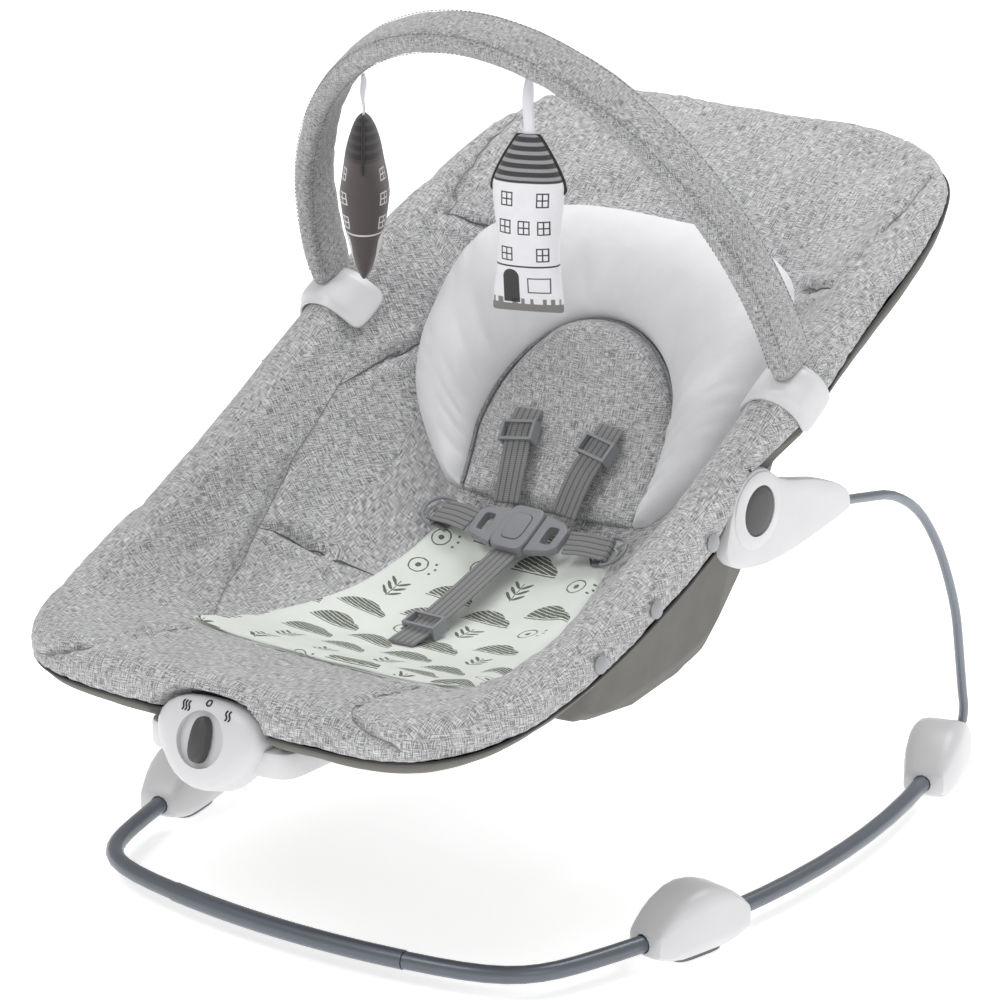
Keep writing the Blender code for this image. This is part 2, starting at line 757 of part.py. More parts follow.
def make_hub_buttons():
    floor = ARM_INNER_X + ARM_THICKNESS - BUTTON_SEAT_DEPTH
    low = BUTTON_TRAVEL + GAP
    high = BUTTON_SEAT_DEPTH + DOME_HEIGHT + BUTTON_PROUD
    profile = ((0, high), (BUTTON_RADIUS * 0.6, high - 0.0003), (BUTTON_RADIUS * 0.88, high - 0.0010),
               (BUTTON_RADIUS, high - 0.0022), (BUTTON_RADIUS, low), (0, low))
    button = turned("hub_button", profile, (floor, HUB_Y, HUB_Z), X_AXIS)
    pair(button, "hub_button", "button", "hub_button_right_axis", "hub_button_left_axis")


def make_pivot_pins():
    start = ARM_INNER_X + PIN_IN_ARM
    length = start - (BRACKET_OUTER_X - BRACKET_THICKNESS) - 0.001
    pin = disc("pivot_pin", PIN_DIAMETER / 2, -length, 0, (start, HUB_Y, HUB_Z), X_AXIS, steps=20)
    pair(pin, "pivot_pin", "steel", "bounce_axis")


def bracket_slab(name, slack=0.0, outer=0.0):
    """The plate that hangs the hub's pin from the rim tube, or the room for it in the covers."""
    tube = station_at(HUB_Y).tube
    half = BRACKET_HALF_WIDTH + slack
    low = [(half * cos(radians(a)), half * sin(radians(a))) for a in between(180, 360, 9)]
    rise = tube.z - HUB_Z
    high = [(half, rise), (-half, rise)]
    thickness = BRACKET_THICKNESS + 2 * slack
    inner = BRACKET_OUTER_X - BRACKET_THICKNESS - slack
    return slab(name, low + high, 0, thickness + outer, hub_frame(inner))


def make_hub_brackets():
    bracket = bracket_slab("hub_bracket")
    near_hub = [s.tube for s in rim_stations() if abs(s.tube.y - HUB_Y) < 0.09]
    bore = swept_tube("bracket_tube_bore", near_hub, RIM_TUBE_DIAMETER + 4 * GAP, 3)
    pin_bore = disc("bracket_pin_bore", PIN_DIAMETER / 2 + GAP, -0.04, 0.01,
                    (BRACKET_OUTER_X, HUB_Y, HUB_Z), X_AXIS, steps=20)
    cut(bracket, bore, pin_bore)
    pair(bracket, "hub_bracket", "board", "recline_axis")


# Seat rim

def rim_half_width(y):
    narrowing = RIM_FRONT_NARROWING if y < 0 else RIM_TOP_NARROWING
    return RIM_HALF_WIDTH - narrowing * y * y


def rim_line():
    """The rim tube's middle line down the right side, from the foot end to the head end."""
    middle = (RIM_FRONT_Y + RIM_TOP_Y) / 2
    half = (RIM_TOP_Y - RIM_FRONT_Y) / 2
    power = 2 / RIM_SQUARENESS
    points = []
    for angle in between(0, pi, 1601):
        y = middle - half * signed_power(cos(angle), power)
        x = rim_half_width(y) * max(sin(angle), 0) ** power
        points.append(Vector((x, y, smooth_value(RIM_SIDE_PROFILE, y))))
    points[-1].x = 0
    return points


class Station:
    """A place down the right side of the rim: the tube's middle, the way along, outward and up."""

    def __init__(self, middle, along, share):
        self.middle = middle
        self.along = along
        self.out = along.cross(Z_AXIS).normalized()
        self.up = self.out.cross(along)
        self.share = share
        self.tube = middle + self.out * RIM_TUBE_OFFSET[0] + self.up * RIM_TUBE_OFFSET[1]

    def round(self, angle, radius):
        """A point round the tube: 0 degrees is outward and 90 is up."""
        return self.middle + self.spoke(angle) * radius

    def spoke(self, angle):
        return self.out * cos(radians(angle)) + self.up * sin(radians(angle))


def rim_stations(count=SEAT_STATIONS):
    """Stations down the right side, closer together in the corners."""
    line = rim_line()
    lengths, weights = [0.0], [0.0]
    for i in range(1, len(line)):
        step = line[i] - line[i - 1]
        before = line[i - 1] - line[i - 2] if i > 1 else step
        lengths.append(lengths[-1] + step.length)
        weights.append(weights[-1] + step.length + RIM_CORNER_WEIGHT * before.angle(step, 0))
    stations = []
    for n in range(count + 1):
        want = weights[-1] * n / count
        i = min(range(len(line)), key=lambda k: abs(weights[k] - want))
        if n == 0:
            along = X_AXIS.copy()
        elif n == count:
            along = -X_AXIS
        else:
            i = min(max(i, 1), len(line) - 2)
            along = (line[i + 1] - line[i - 1]).normalized()
        stations.append(Station(line[i], along, lengths[i] / lengths[-1]))
    return stations


def make_rim_tube():
    right = [s.tube for s in rim_stations()]
    left = [Vector((-p.x, p.y, p.z)) for p in reversed(right[1:-1])]
    tube = swept_tube("rim_tube", right + left, RIM_TUBE_DIAMETER, 2, cyclic=True)
    return finish(as_mesh(tube), "rim_tube", "tube", "recline_axis")


# Cover and under-cover

ROLL_ROWS = 6
COVER_SHARES = (0.10, 0.24, 0.40, 0.58, 0.78, 1.0)
COVER_UNDERSIDE = (1, 3, 5)
BORE_ROWS = 5
BORE_END_ANGLE = 168
UNDER_ROWS = 4
UNDER_END_ANGLE = -132
UNDER_COLUMNS = tuple(enumerate(COVER_SHARES))[1:]
PIPING_GAP_ANGLE = 2.0
UNDER_CORNER = 1.35


def bowl_z(y):
    return smooth_value(BOWL_PROFILE, y)


def roll_end_angle(y):
    return smooth_value(ROLL_END_ANGLES, y)


def spine_point(share):
    y = SPINE_FRONT_Y + (SPINE_TOP_Y - SPINE_FRONT_Y) * share
    return Vector((0, y, bowl_z(y)))


def bowl_line(station):
    """The cover's top from the roll's inner side down to the middle of the seat."""
    inner = station.round(roll_end_angle(station.middle.y), ROLL_RADIUS)
    middle = spine_point(station.share)
    rise = inner.z - bowl_z(inner.y)
    line = []
    for t in COVER_SHARES:
        x = inner.x * (1 - t)
        y = inner.y + (middle.y - inner.y) * t
        line.append(Vector((x, y, bowl_z(y) + rise * (1 - t) ** BOWL_STEEPNESS)))
    return line


def grid_normals(grid):
    """Upward normals of a grid of points, kept in the middle plane where the points lie in it."""
    normals = []
    for i, row in enumerate(grid):
        out = []
        for j, point in enumerate(row):
            before, after = grid[max(i - 1, 0)][j], grid[min(i + 1, len(grid) - 1)][j]
            inner, outer = row[min(j + 1, len(row) - 1)], row[max(j - 1, 0)]
            normal = (after - before).cross(outer - inner)
            if normal.length < 1e-12:
                normal = Z_AXIS.copy()
            if normal.z < 0:
                normal = -normal
            if abs(point.x) < 1e-9:
                normal.x = 0
            out.append(normal.normalized())
        normals.append(out)
    return normals


def bowl_grid():
    """The bowl's top points with their normals, station by station."""
    stations = rim_stations()
    grid = [bowl_line(station) for station in stations]
    for i in (0, SEAT_STATIONS):
        for point in grid[i]:
            point.x = 0
    normals = grid_normals(grid)
    for i, row in enumerate(grid):
        y = row[-1].y
        slope = (bowl_z(y + 0.005) - bowl_z(y - 0.005)) / 0.01
        normals[i][-1] = Vector((0, -slope, 1)).normalized()
    return stations, grid, normals


def strip_faces(rows, stations, first=0):
    """Quads between neighbouring rows, each row holding one point for every station."""
    faces = []
    for r in range(rows - 1):
        for i in range(stations - 1):
            a = first + r * stations + i
            b = a + stations
            faces.append((a, a + 1, b + 1, b))
    return faces


def layered_half(name, top_rows, low_rows):
    """A half shell from rows that run from the rim to the middle, closed along the rim."""
    count = len(top_rows[0])
    verts = [p for row in top_rows for p in row] + [p for row in low_rows for p in row]
    faces = strip_faces(len(top_rows), count)
    base = len(top_rows) * count
    faces += strip_faces(len(low_rows), count, base)
    faces += [(i, i + 1, base + i + 1, base + i) for i in range(count - 1)]
    for vert in verts:
        if abs(vert.x) < 1e-7:
            vert.x = 0
    half = mesh_object(name, verts, faces, outward=False)
    work = bmesh.new()
    work.from_mesh(half.data)
    bmesh.ops.recalc_face_normals(work, faces=work.faces)
    highest = max(work.faces, key=lambda f: f.calc_center_median().z)
    if highest.normal.z < 0:
        bmesh.ops.reverse_faces(work, faces=work.faces)
    work.to_mesh(half.data)
    work.free()
    return mirrored_half(half)


def piping_angle(y):
    return smooth_value(PIPING_ANGLES, y)


def cover_rows():
    stations, grid, normals = bowl_grid()
    top_rows = []
    for k in range(ROLL_ROWS):
        share = k / (ROLL_ROWS - 1)
        row = []
        for station in stations:
            start, end = piping_angle(station.middle.y), roll_end_angle(station.middle.y)
            row.append(station.round(start + (end - start) * share, ROLL_RADIUS))
        top_rows.append(row)
    for j in range(len(COVER_SHARES)):
        top_rows.append([row[j].copy() for row in grid])
    low_rows = []
    for k in range(BORE_ROWS):
        share = k / (BORE_ROWS - 1)
        row = []
        for station in stations:
            start = piping_angle(station.middle.y)
            spoke = station.spoke(start + (BORE_END_ANGLE - start) * share)
            row.append(station.tube + spoke * ROLL_BORE)
        low_rows.append(row)
    for j in COVER_UNDERSIDE:
        low_rows.append([p[j] - n[j] * COVER_THICKNESS for p, n in zip(grid, normals)])
    return top_rows, low_rows


def pouch_floor(y):
    beyond = max(abs(y - POUCH_Y) - POUCH_FLAT, 0.0)
    return POUCH_FLOOR_Z + POUCH_RISE * beyond * beyond


def fold_point(station, line):
    """The outer face's point where the under-cover leaves the tube and turns down into the pouch or up under the cover."""
    wrap = station.spoke(UNDER_END_ANGLE)
    wall = (line[1] - line[0]).cross(station.along).normalized()
    point = line[0] + (wrap + wall) * UNDER_THICKNESS / max(1 + wrap.dot(wall), 0.4)
    point.x = point.x if abs(line[0].x) > 1e-7 else 0
    return point


def under_rows():
    """The under-cover's inner and outer faces. They wrap the tube from below and sag into a pouch."""
    stations, grid, normals = bowl_grid()
    inner_rows, outer_rows = [], []
    for k in range(UNDER_ROWS):
        share = k / (UNDER_ROWS - 1)
        inner, outer = [], []
        for station in stations:
            start = piping_angle(station.middle.y) - PIPING_GAP_ANGLE
            angle = start + (UNDER_END_ANGLE - start) * share
            outer.append(station.round(angle, ROLL_RADIUS))
            inner.append(station.round(angle, ROLL_RADIUS - UNDER_THICKNESS))
        inner_rows.append(inner)
        outer_rows.append(outer)
    lines = []
    for points, ups, first in zip(grid, normals, inner_rows[-1]):
        line = [first.copy()]
        for j, share in UNDER_COLUMNS:
            hung = points[j] - ups[j] * (COVER_THICKNESS + UNDER_CLEARANCE)
            floor = pouch_floor(hung.y)
            if floor < hung.z:
                hung.z += (floor - hung.z) * smoothstep((share - 0.08) / POUCH_SHOULDER)
            line.append(hung)
        lines.append(line)
    normals = grid_normals(lines)
    outer_rows[-1] = [fold_point(station, line) for station, line in zip(stations, lines)]
    for j in range(1, len(lines[0])):
        thickness = UNDER_THICKNESS * (UNDER_CORNER if j == 1 else 1)
        inner_rows.append([line[j] for line in lines])
        outer_rows.append([line[j] - ups[j] * thickness for line, ups in zip(lines, normals)])
    return inner_rows, outer_rows


def hub_hole(name):
    """Room for a hub in the covers: a scallop round the arm's ring, with a slot for the bracket behind it."""
    inner = BRACKET_OUTER_X + 2 * GAP
    scallop = disc(name, SCALLOP_RADIUS, 0, 3 * ARM_THICKNESS + 0.03, (inner, HUB_Y, HUB_Z), X_AXIS, steps=26)
    room = [(y * 1.06 + 0.0002, z * 1.07) for y, z in arm_outline()]
    arm = slab(name + "_arm", room, -2 * GAP, 0.07, hub_frame(ARM_INNER_X))
    join(scallop, bracket_slab(name + "_slot", 3 * GAP, 0.02), arm)
    return as_mesh(scallop)


def both_hub_holes(name):
    right = hub_hole(name + "_hub_right")
    mesh = shown_mesh(right, name + "_hub_left")
    mesh.transform(Matrix.Scale(-1, 4, X_AXIS))
    mesh.flip_normals()
    return right, link(name + "_hub_left", mesh)


def unit_room(name):
    """Room for the vibration unit in the covers."""
    return slab(name + "_unit", unit_outline(1.035), -UNIT_DEPTH - 3 * GAP, 0.03, unit_frame())


def make_cover():
    cover = layered_half("seat_cover", *cover_rows())
    cut(cover, *both_hub_holes("cover"), unit_room("cover"))
    return finish(cover, "seat_cover", "marl", "recline_axis")


def make_under_cover():
    under = layered_half("under_cover", *under_rows())
    cut(under, *both_hub_holes("under"), unit_room("under"))
    return finish(under, "under_cover", "under", "recline_axis")


def make_seat_board():
    low = POUCH_FLOOR_Z + 1.3 * REST_GAP
    outline = rounded_rectangle(BOARD_HALF_WIDTH, POUCH_FLAT - 0.003, 5, 24)
    frame = Matrix.Translation((0, POUCH_Y, 0))
    board = slab("seat_board", outline, low, low + BOARD_THICKNESS, frame, 0.0012, 1)
    return finish(board, "seat_board", "board", "recline_axis")


# Resting on the seat

QUARTERS = (0, 0.25, 0.5, 0.75, 1)


class Seat:
    """Finds the cover's top, so that what lies on it follows its real surface."""

    def __init__(self, cover):
        mesh = shown_mesh(cover, "seat_surface")
        points = [v.co.copy() for v in mesh.vertices]
        mesh.calc_loop_triangles()
        upward = [tuple(t.vertices) for t in mesh.loop_triangles if t.normal.z > 0]
        self.tree = BVHTree.FromPolygons(points, upward)
        bpy.data.meshes.remove(mesh)

    def on(self, x, y, lift=0.0):
        """A point on the cover at x, on the line square to the middle profile at y, and its normal."""
        slope = (bowl_z(y + 0.004) - bowl_z(y - 0.004)) / 0.008
        up = Vector((0, -slope, 1)).normalized()
        start = Vector((x, y, bowl_z(y))) + up * 0.16
        hit, normal, _, _ = self.tree.ray_cast(start, -up)
        if normal.dot(up) < 0:
            normal = -normal
        smooth = (normal + up * 0.5).normalized()
        return hit + smooth * lift, smooth

    def short_of(self, point, up):
        """How much closer to the cover than the resting gap the point is."""
        hit, normal, _, _ = self.tree.ray_cast(point + up * 0.02, -up)
        if hit is None:
            return 0
        return REST_GAP * 0.7 / max(abs(normal.dot(up)), 0.2) - (point - hit).dot(up)

    def settle(self, grid):
        """Lift a grid of (low, high) points until its flat underside clears the cover."""
        for _ in range(30):
            lifts = {}
            for i in range(len(grid) - 1):
                for j in range(len(grid[0]) - 1):
                    corners = ((i, j), (i + 1, j), (i, j + 1), (i + 1, j + 1))
                    a, b, c, d = (grid[m][n][0] for m, n in corners)
                    tries = [a.lerp(b, u).lerp(c.lerp(d, u), v) for u in QUARTERS for v in QUARTERS]
                    tries += [a.lerp(d, u) for u in QUARTERS] + [b.lerp(c, u) for u in QUARTERS]
                    up = sum((grid[m][n][1] - grid[m][n][0] for m, n in corners), Vector()).normalized()
                    short = max(self.short_of(point, up) for point in tries)
                    if short > 0:
                        for corner in corners:
                            lifts[corner] = max(lifts.get(corner, 0), short)
            if not lifts:
                break
            for (i, j), lift in lifts.items():
                low, high = grid[i][j]
                step = (high - low).normalized() * (lift + 0.0001)
                step.x = step.x if abs(low.x) > 1e-7 else 0
                low += step
                high += step
        return grid

    def up_back(self, x, length, lift=0.0):
        """The same, with the place measured up the back from the crook."""
        return self.on(x, self.back_y(length), lift)

    def back_y(self, length):
        y, gone, step = CROOK_Y, 0.0, 0.002
        sign = 1 if length >= 0 else -1
        while gone < abs(length):
            gone += sqrt(step * step + (bowl_z(y + sign * step) - bowl_z(y)) ** 2)
            y += sign * step
        return y


def pillow(name, grid, open_at_middle=True):
    """A closed pad from a grid of (low point, high point), open at the middle plane in column 0."""
    rows, columns = len(grid), len(grid[0])
    verts = [pairs[0] for row in grid for pairs in row] + [pairs[1] for row in grid for pairs in row]
    base = rows * columns
    faces = []
    for i in range(rows - 1):
        for j in range(columns - 1):
            a = i * columns + j
            faces.append((a, a + 1, a + columns + 1, a + columns))
            faces.append((base + a, base + a + columns, base + a + columns + 1, base + a + 1))
    rims = [[i * columns + columns - 1 for i in range(rows)],
            list(range(columns)), [(rows - 1) * columns + j for j in range(columns)]]
    if not open_at_middle:
        rims.append([i * columns for i in range(rows)])
    for rim in rims:
        faces += [(a, b, base + b, base + a) for a, b in zip(rim, rim[1:])]
    for vert in verts:
        if abs(vert.x) < 1e-7:
            vert.x = 0
    obj = mesh_object(name, verts, faces)
    work = bmesh.new()
    work.from_mesh(obj.data)
    highest = max(work.faces, key=lambda f: f.calc_center_median().z)
    if highest.normal.z < 0:
        bmesh.ops.reverse_faces(work, faces=work.faces)
    work.to_mesh(obj.data)
    work.free()
    return mirrored_half(obj) if open_at_middle else obj


def on_middle(low, high):
    """The two points moved into the middle plane."""
    low.x = high.x = 0
    return low, high


def panel_half_width(y):
    share = (y - PANEL_FRONT_Y) / (PANEL_REAR_Y - PANEL_FRONT_Y)
    return PANEL_FRONT_HALF_WIDTH + (PANEL_REAR_HALF_WIDTH - PANEL_FRONT_HALF_WIDTH) * share ** 0.8


def make_panel(seat):
    """The printed panel: a thin quilted pad on the seat, its front edge cut in a shallow wave."""
    grid = []
    for i in range(15):
        share = i / 14
        row = []
        for j in range(8):
            across = j / 7
            front = PANEL_FRONT_Y + PANEL_WAVE * (1 - cos(across * 2.5 * pi)) / 2 * (1 - share)
            y = front + (PANEL_REAR_Y - front) * share
            x = panel_half_width(max(y, PANEL_FRONT_Y)) * across
            edge = min(share, 1 - share) * 7
            rim = min(1.0, 0.35 + edge, 0.35 + (1 - across) * 4)
            puff = 1 + 0.12 * sin(9 * across + 14 * share)
            low, _ = seat.on(x, y, REST_GAP)
            high, _ = seat.on(x, y, REST_GAP + PANEL_THICKNESS * rim * puff)
            row.append(on_middle(low, high) if j == 0 else (low, high))
        grid.append(row)
    return finish(pillow("seat_panel", seat.settle(grid)), "seat_panel", "mint", "recline_axis")


def pad_edge(share):
    """The back pad's outline from its top middle round to its lower corner, as (x, length up the back)."""
    if share < 0.6:
        angle = share / 0.6 * pi / 2
        return PAD_HALF_WIDTH * sin(angle), PAD_SHOULDER + (PAD_TOP - PAD_SHOULDER) * cos(angle)
    t = (share - 0.6) / 0.4
    return PAD_HALF_WIDTH + (PAD_LOW_HALF_WIDTH - PAD_HALF_WIDTH) * t, PAD_SHOULDER * (1 - t)


def head_edge(share):
    """The head cushion's outer outline, from its top middle round to its tip."""
    if share < 0.55:
        angle = share / 0.55 * pi / 2
        return (HEAD_HALF_WIDTH * sin(angle) ** HEAD_CURVE,
                HEAD_SHOULDER + (HEAD_TOP - HEAD_SHOULDER) * max(cos(angle), 0) ** HEAD_CURVE)
    t = (share - 0.55) / 0.45
    x = HEAD_HALF_WIDTH + (HEAD_TIP_HALF_WIDTH - HEAD_HALF_WIDTH) * t ** 1.7
    return x, HEAD_SHOULDER * (1 - t)


def pad_thickness(length):
    share = max(length / PAD_TOP, 0) ** 1.6
    return PAD_LOW_THICKNESS + (PAD_TOP_THICKNESS - PAD_LOW_THICKNESS) * share


def make_back_pad(seat):
    """The grey pad behind the child's back: rounded top, drawn in to the crook of the seat."""
    grid = []
    for length in (*between(0, PAD_SHOULDER, 5), *(PAD_SHOULDER + (PAD_TOP - PAD_SHOULDER) * sin(a)
                                                    for a in between(0.22, 1.35, 6))):
        if length <= PAD_SHOULDER:
            half = PAD_LOW_HALF_WIDTH + (PAD_HALF_WIDTH - PAD_LOW_HALF_WIDTH) * length / PAD_SHOULDER
        else:
            half = PAD_HALF_WIDTH * sqrt(1 - ((length - PAD_SHOULDER) / (PAD_TOP - PAD_SHOULDER)) ** 2)
        row = []
        for across in (0, 0.3, 0.58, 0.82, 1.0):
            ends = min(1.0, 0.3 + length / 0.02, 0.3 + (PAD_TOP - length) / 0.02)
            crown = max(0.3, sqrt(max(1 - across ** 3, 0))) * ends
            low, _ = seat.up_back(half * across, length, REST_GAP)
            high, _ = seat.up_back(half * across, length, REST_GAP + pad_thickness(length) * crown)
            row.append((low, high) if across else on_middle(low, high))
        grid.append(row)
    return finish(pillow("back_pad", seat.settle(grid)), "back_pad", "marl", "recline_axis")


def make_head_cushion(seat):
    """The white horseshoe round the head: a fat padded band that tapers to two tips."""
    grid = []
    for share in between(0, 0.97, 17):
        inner, outer = Vector(pad_edge(share)), Vector(head_edge(share))
        inner += (outer - inner).normalized() * PAD_SEAM
        fat = HEAD_THICKNESS * min(1.0, 0.34 + (1 - share) * 2.0)
        row = []
        for t in (0.0, 0.07, 0.2, 0.36, 0.54, 0.72, 0.88, 1.0):
            x, length = inner.lerp(outer, t)
            crown = max(0.16, (4 * t * (1 - t)) ** 0.42)
            low, _ = seat.up_back(x, length, REST_GAP)
            high, _ = seat.up_back(x, length, REST_GAP + fat * crown)
            row.append((low, high) if share else on_middle(low, high))
        grid.append(row)
    seat.settle(grid)
    rings = [[low for low, _ in row] + [high for _, high in reversed(row)] for row in grid]
    count = len(rings[0])
    verts = [p for ring in rings for p in ring]
    faces = []
    for i in range(len(rings) - 1):
        for j in range(count):
            k = (j + 1) % count
            faces.append((i * count + j, i * count + k, (i + 1) * count + k, (i + 1) * count + j))
    faces.append(tuple((len(rings) - 1) * count + j for j in range(count)))
    half = mesh_object("head_cushion", verts, faces)
    work = bmesh.new()
    work.from_mesh(half.data)
    highest = max(work.faces, key=lambda f: f.calc_center_median().z)
    if highest.normal.z < 0:
        bmesh.ops.reverse_faces(work, faces=work.faces)
    work.to_mesh(half.data)
    work.free()
    return finish(mirrored_half(half), "head_cushion", "white", "recline_axis")


# Press studs

def station_at(y):
    """The rim station on the right side nearest to y."""
    side = [s for s in rim_stations(240) if s.middle.x > RIM_HALF_WIDTH * 0.7]
    return min(side, key=lambda s: abs(s.middle.y - y))


def make_studs():
    for number, y in enumerate(STUD_YS, 1):
        station = station_at(y)
        seat = station.round(4, ROLL_RADIUS - GAP)
        axis = seat - station.middle
        profile = ((0, STUD_THICKNESS), (STUD_RADIUS * 0.8, STUD_THICKNESS * 0.85),
                   (STUD_RADIUS, STUD_THICKNESS * 0.35), (STUD_RADIUS, 0), (0, 0))
        stud = turned("press_stud", profile, seat, axis, 14)
        pair(stud, f"press_stud_{number}", "clip", "recline_axis")


# Toy bar

def bar_up():
    return Vector((0, cos(radians(BAR_LEAN)), sin(radians(BAR_LEAN))))


def bar_depth():
    """The direction across the toy bar's flat sleeve."""
    return X_AXIS.cross(bar_up()) * -1


def arch_point(angle, inward=0.0):
    """A point of the arch: angle 0 is the right foot and 180 degrees the left one. Its legs draw in a little."""
    x = (BAR_HALF_WIDTH * (1 - BAR_TUCK * (1 - sin(angle)) ** 2) - inward) * cos(angle)
    up = (BAR_HEIGHT - inward) * sin(angle)
    return Vector((x, *BAR_FOOT)) + bar_up() * up


def leg_point(height):
    """A point of the right leg near its foot."""
    return arch_point(asin(height / BAR_HEIGHT))


def arch_path(end_height, count):
    start = end_height / BAR_HEIGHT
    arch = [arch_point(a) for a in between(start, pi - start, count)]
    return arch


def make_sleeve():
    path = arch_path(SLEEVE_END, 29)
    depth = [bar_depth()] * len(path)
    section = rounded_rectangle(SLEEVE_WIDTH / 2, SLEEVE_THICKNESS / 2, 3, 12)
    sleeve = swept_section("toy_bar_sleeve", path, depth, section)
    bore_path = arch_path(SLEEVE_END - 0.006, 29)
    half = (CORE_WIDTH / 2 + 2 * GAP, CORE_THICKNESS / 2 + 3 * GAP)
    corners = ((half[0], half[1]), (-half[0], half[1]), (-half[0], -half[1]), (half[0], -half[1]))
    cut(sleeve, swept_section("sleeve_bore", bore_path, depth, corners))
    return finish(sleeve, "toy_bar_sleeve", "marl", "toy_bar_axis")


def core_section(slack=0.0):
    half = (CORE_WIDTH / 2 + slack, CORE_THICKNESS / 2 + slack)
    return ((half[0], half[1]), (-half[0], half[1]), (-half[0], -half[1]), (half[0], -half[1]))


def make_core():
    path = arch_path(CORE_END, 29)
    core = swept_section("toy_bar_core", path, [bar_depth()] * len(path), core_section())
    return finish(core, "toy_bar_core", "board", "toy_bar_axis")


def clip_outline():
    """End view of a clip about the rim tube: a saddle over the roll with a socket on top."""
    inner = ROLL_RADIUS + REST_GAP
    outer = inner + CLIP_WALL
    top, step = CLIP_SOCKET_TOP, 0.003
    inside = [(inner * cos(radians(a)), inner * sin(radians(a))) for a in between(145, 0, 11)]
    start = Vector(inside[0])
    flap = start - Vector(CLIP_FLAP)
    square = Vector((-CLIP_FLAP[1], CLIP_FLAP[0])).normalized() * CLIP_WALL
    socket = [(outer, top - step), (outer - step, top), (-CLIP_SOCKET_INNER + step, top),
              (-CLIP_SOCKET_INNER, top - step * 0.6)]
    return [(outer, -CLIP_DROP), *socket, tuple(start + square), tuple(flap + square),
            tuple(flap), *inside, (inner, -CLIP_DROP)]


def make_clips():
    rim = station_at(BAR_FOOT[0])
    frame = Matrix.Translation(rim.middle) @ Matrix((rim.out, rim.up, -rim.along)).transposed().to_4x4()
    clip = slab("toy_bar_clip", clip_outline(), -CLIP_LENGTH / 2, CLIP_LENGTH / 2, frame, 0.0012, 2)
    path = [leg_point(h) for h in (CORE_END - 0.0006, CORE_END + 0.02, CORE_END + 0.04)]
    slot = swept_section("clip_slot", path, [bar_depth()] * 3, core_section(2.5 * GAP))
    cut(clip, slot)
    pair(clip, "toy_bar_clip", "shell", "toy_bar_axis")


# Hanging toys

def toy_top(x):
    """The underside of the sleeve over a toy."""
    under = [arch_point(a, SLEEVE_THICKNESS / 2) for a in between(0.1, pi - 0.1, 600)]
    return min(under, key=lambda p: abs(p.x - x))


def make_ribbon(side, x, length, facing):
    top = toy_top(x)
    start = top - Z_AXIS * (RIBBON_DROP + 0.010 * abs(x))
    turn = Vector((cos(radians(facing)), sin(radians(facing)), 0))
    path = [start - Z_AXIS * length * share for share in (0, 0.12, 0.3, 0.5, 0.72, 1.0)]
    rings = []
    for share, point in zip((0, 0.12, 0.3, 0.5, 0.72, 1.0), path):
        across = bar_depth().lerp(turn, share)
        across.z = 0 if share else across.z
        across.normalize()
        thick = across.cross(Z_AXIS).normalized()
        half = RIBBON_WIDTH / 2 * (0.32 + 0.68 * min(1, share * 3))
        rings.append([point + across * half * u + thick * RIBBON_THICKNESS / 2 * v
                      for u, v in ((1, 1), (-1, 1), (-1, -1), (1, -1))])
    ribbon = loft(f"toy_ribbon_{side}", rings)
    finish(ribbon, f"toy_ribbon_{side}", "white", f"toy_{side}_axis")
    return path[-1]


def toy_half_width(share, width):
    """Half the width of a gabled house at a share of its height."""
    if share < 0.72:
        return width / 2 * (0.93 + 0.07 * cos(share / 0.72 * 2 * pi))
    gable = (share - 0.72) / 0.28
    return width / 2 * (1 - 0.72 * gable ** 1.3)


def make_toy(side, x, height, width, thickness, facing, ribbon):
    low_end = make_ribbon(side, x, ribbon, facing)
    turn = Matrix.Rotation(radians(facing), 3, "Z")
    rings = []
    for share in (0, 0.04, 0.14, 0.3, 0.45, 0.6, 0.72, 0.8, 0.88, 0.95, 1.0):
        half = toy_half_width(share, width)
        swell = (min(share, 1 - share) * 2 + 0.02) ** 0.42
        deep = max(thickness / 2 * min(1.0, swell), 0.003)
        z = low_end.z - GAP - height * (1 - share)
        ring = []
        for u, v in rounded_rectangle(half, deep, 2.3, 14):
            ring.append(Vector((low_end.x, low_end.y, z)) + turn @ Vector((u, v, 0)))
        rings.append(ring)
    body = loft(f"toy_{side}", rings)
    finish(body, f"toy_{side}", "toy" if side == "dark" else "white", f"toy_{side}_axis")


# Harness

def buckle_frame():
    tilt = radians(BUCKLE_TILT)
    return frame_at(BUCKLE_CENTRE, X_AXIS, (0, -sin(tilt), cos(tilt)))


def webbing_section(thickness=WEBBING_THICKNESS):
    half, deep = WEBBING_WIDTH / 2, thickness / 2
    round_part = deep * 0.8
    return ((half, 0), (half - round_part, deep), (-half + round_part, deep),
            (-half, 0), (-half + round_part, -deep), (half - round_part, -deep))


def make_buckle():
    frame = buckle_frame()
    half = BUCKLE_THICKNESS / 2
    outline = rounded_rectangle(BUCKLE_MIDDLE_HALF, BUCKLE_HEIGHT / 2, 5, 24)
    body = slab("buckle_body", outline, -half, half, frame, 0.0022, 2)
    room = rounded_rectangle(RELEASE_HALF[0] + GAP, RELEASE_HALF[1] + GAP, 4, 20)
    cut(body, slab("buckle_recess", room, half - 0.0045, half + 0.01, frame))
    finish(body, "buckle_body", "clip", "recline_axis")
    button = slab("buckle_button", rounded_rectangle(*RELEASE_HALF, 4, 20), half - 0.0045 + RELEASE_TRAVEL + GAP,
                  half + 0.001, frame, 0.0008, 2)
    finish(button, "buckle_button", "clip", "buckle_button_axis")


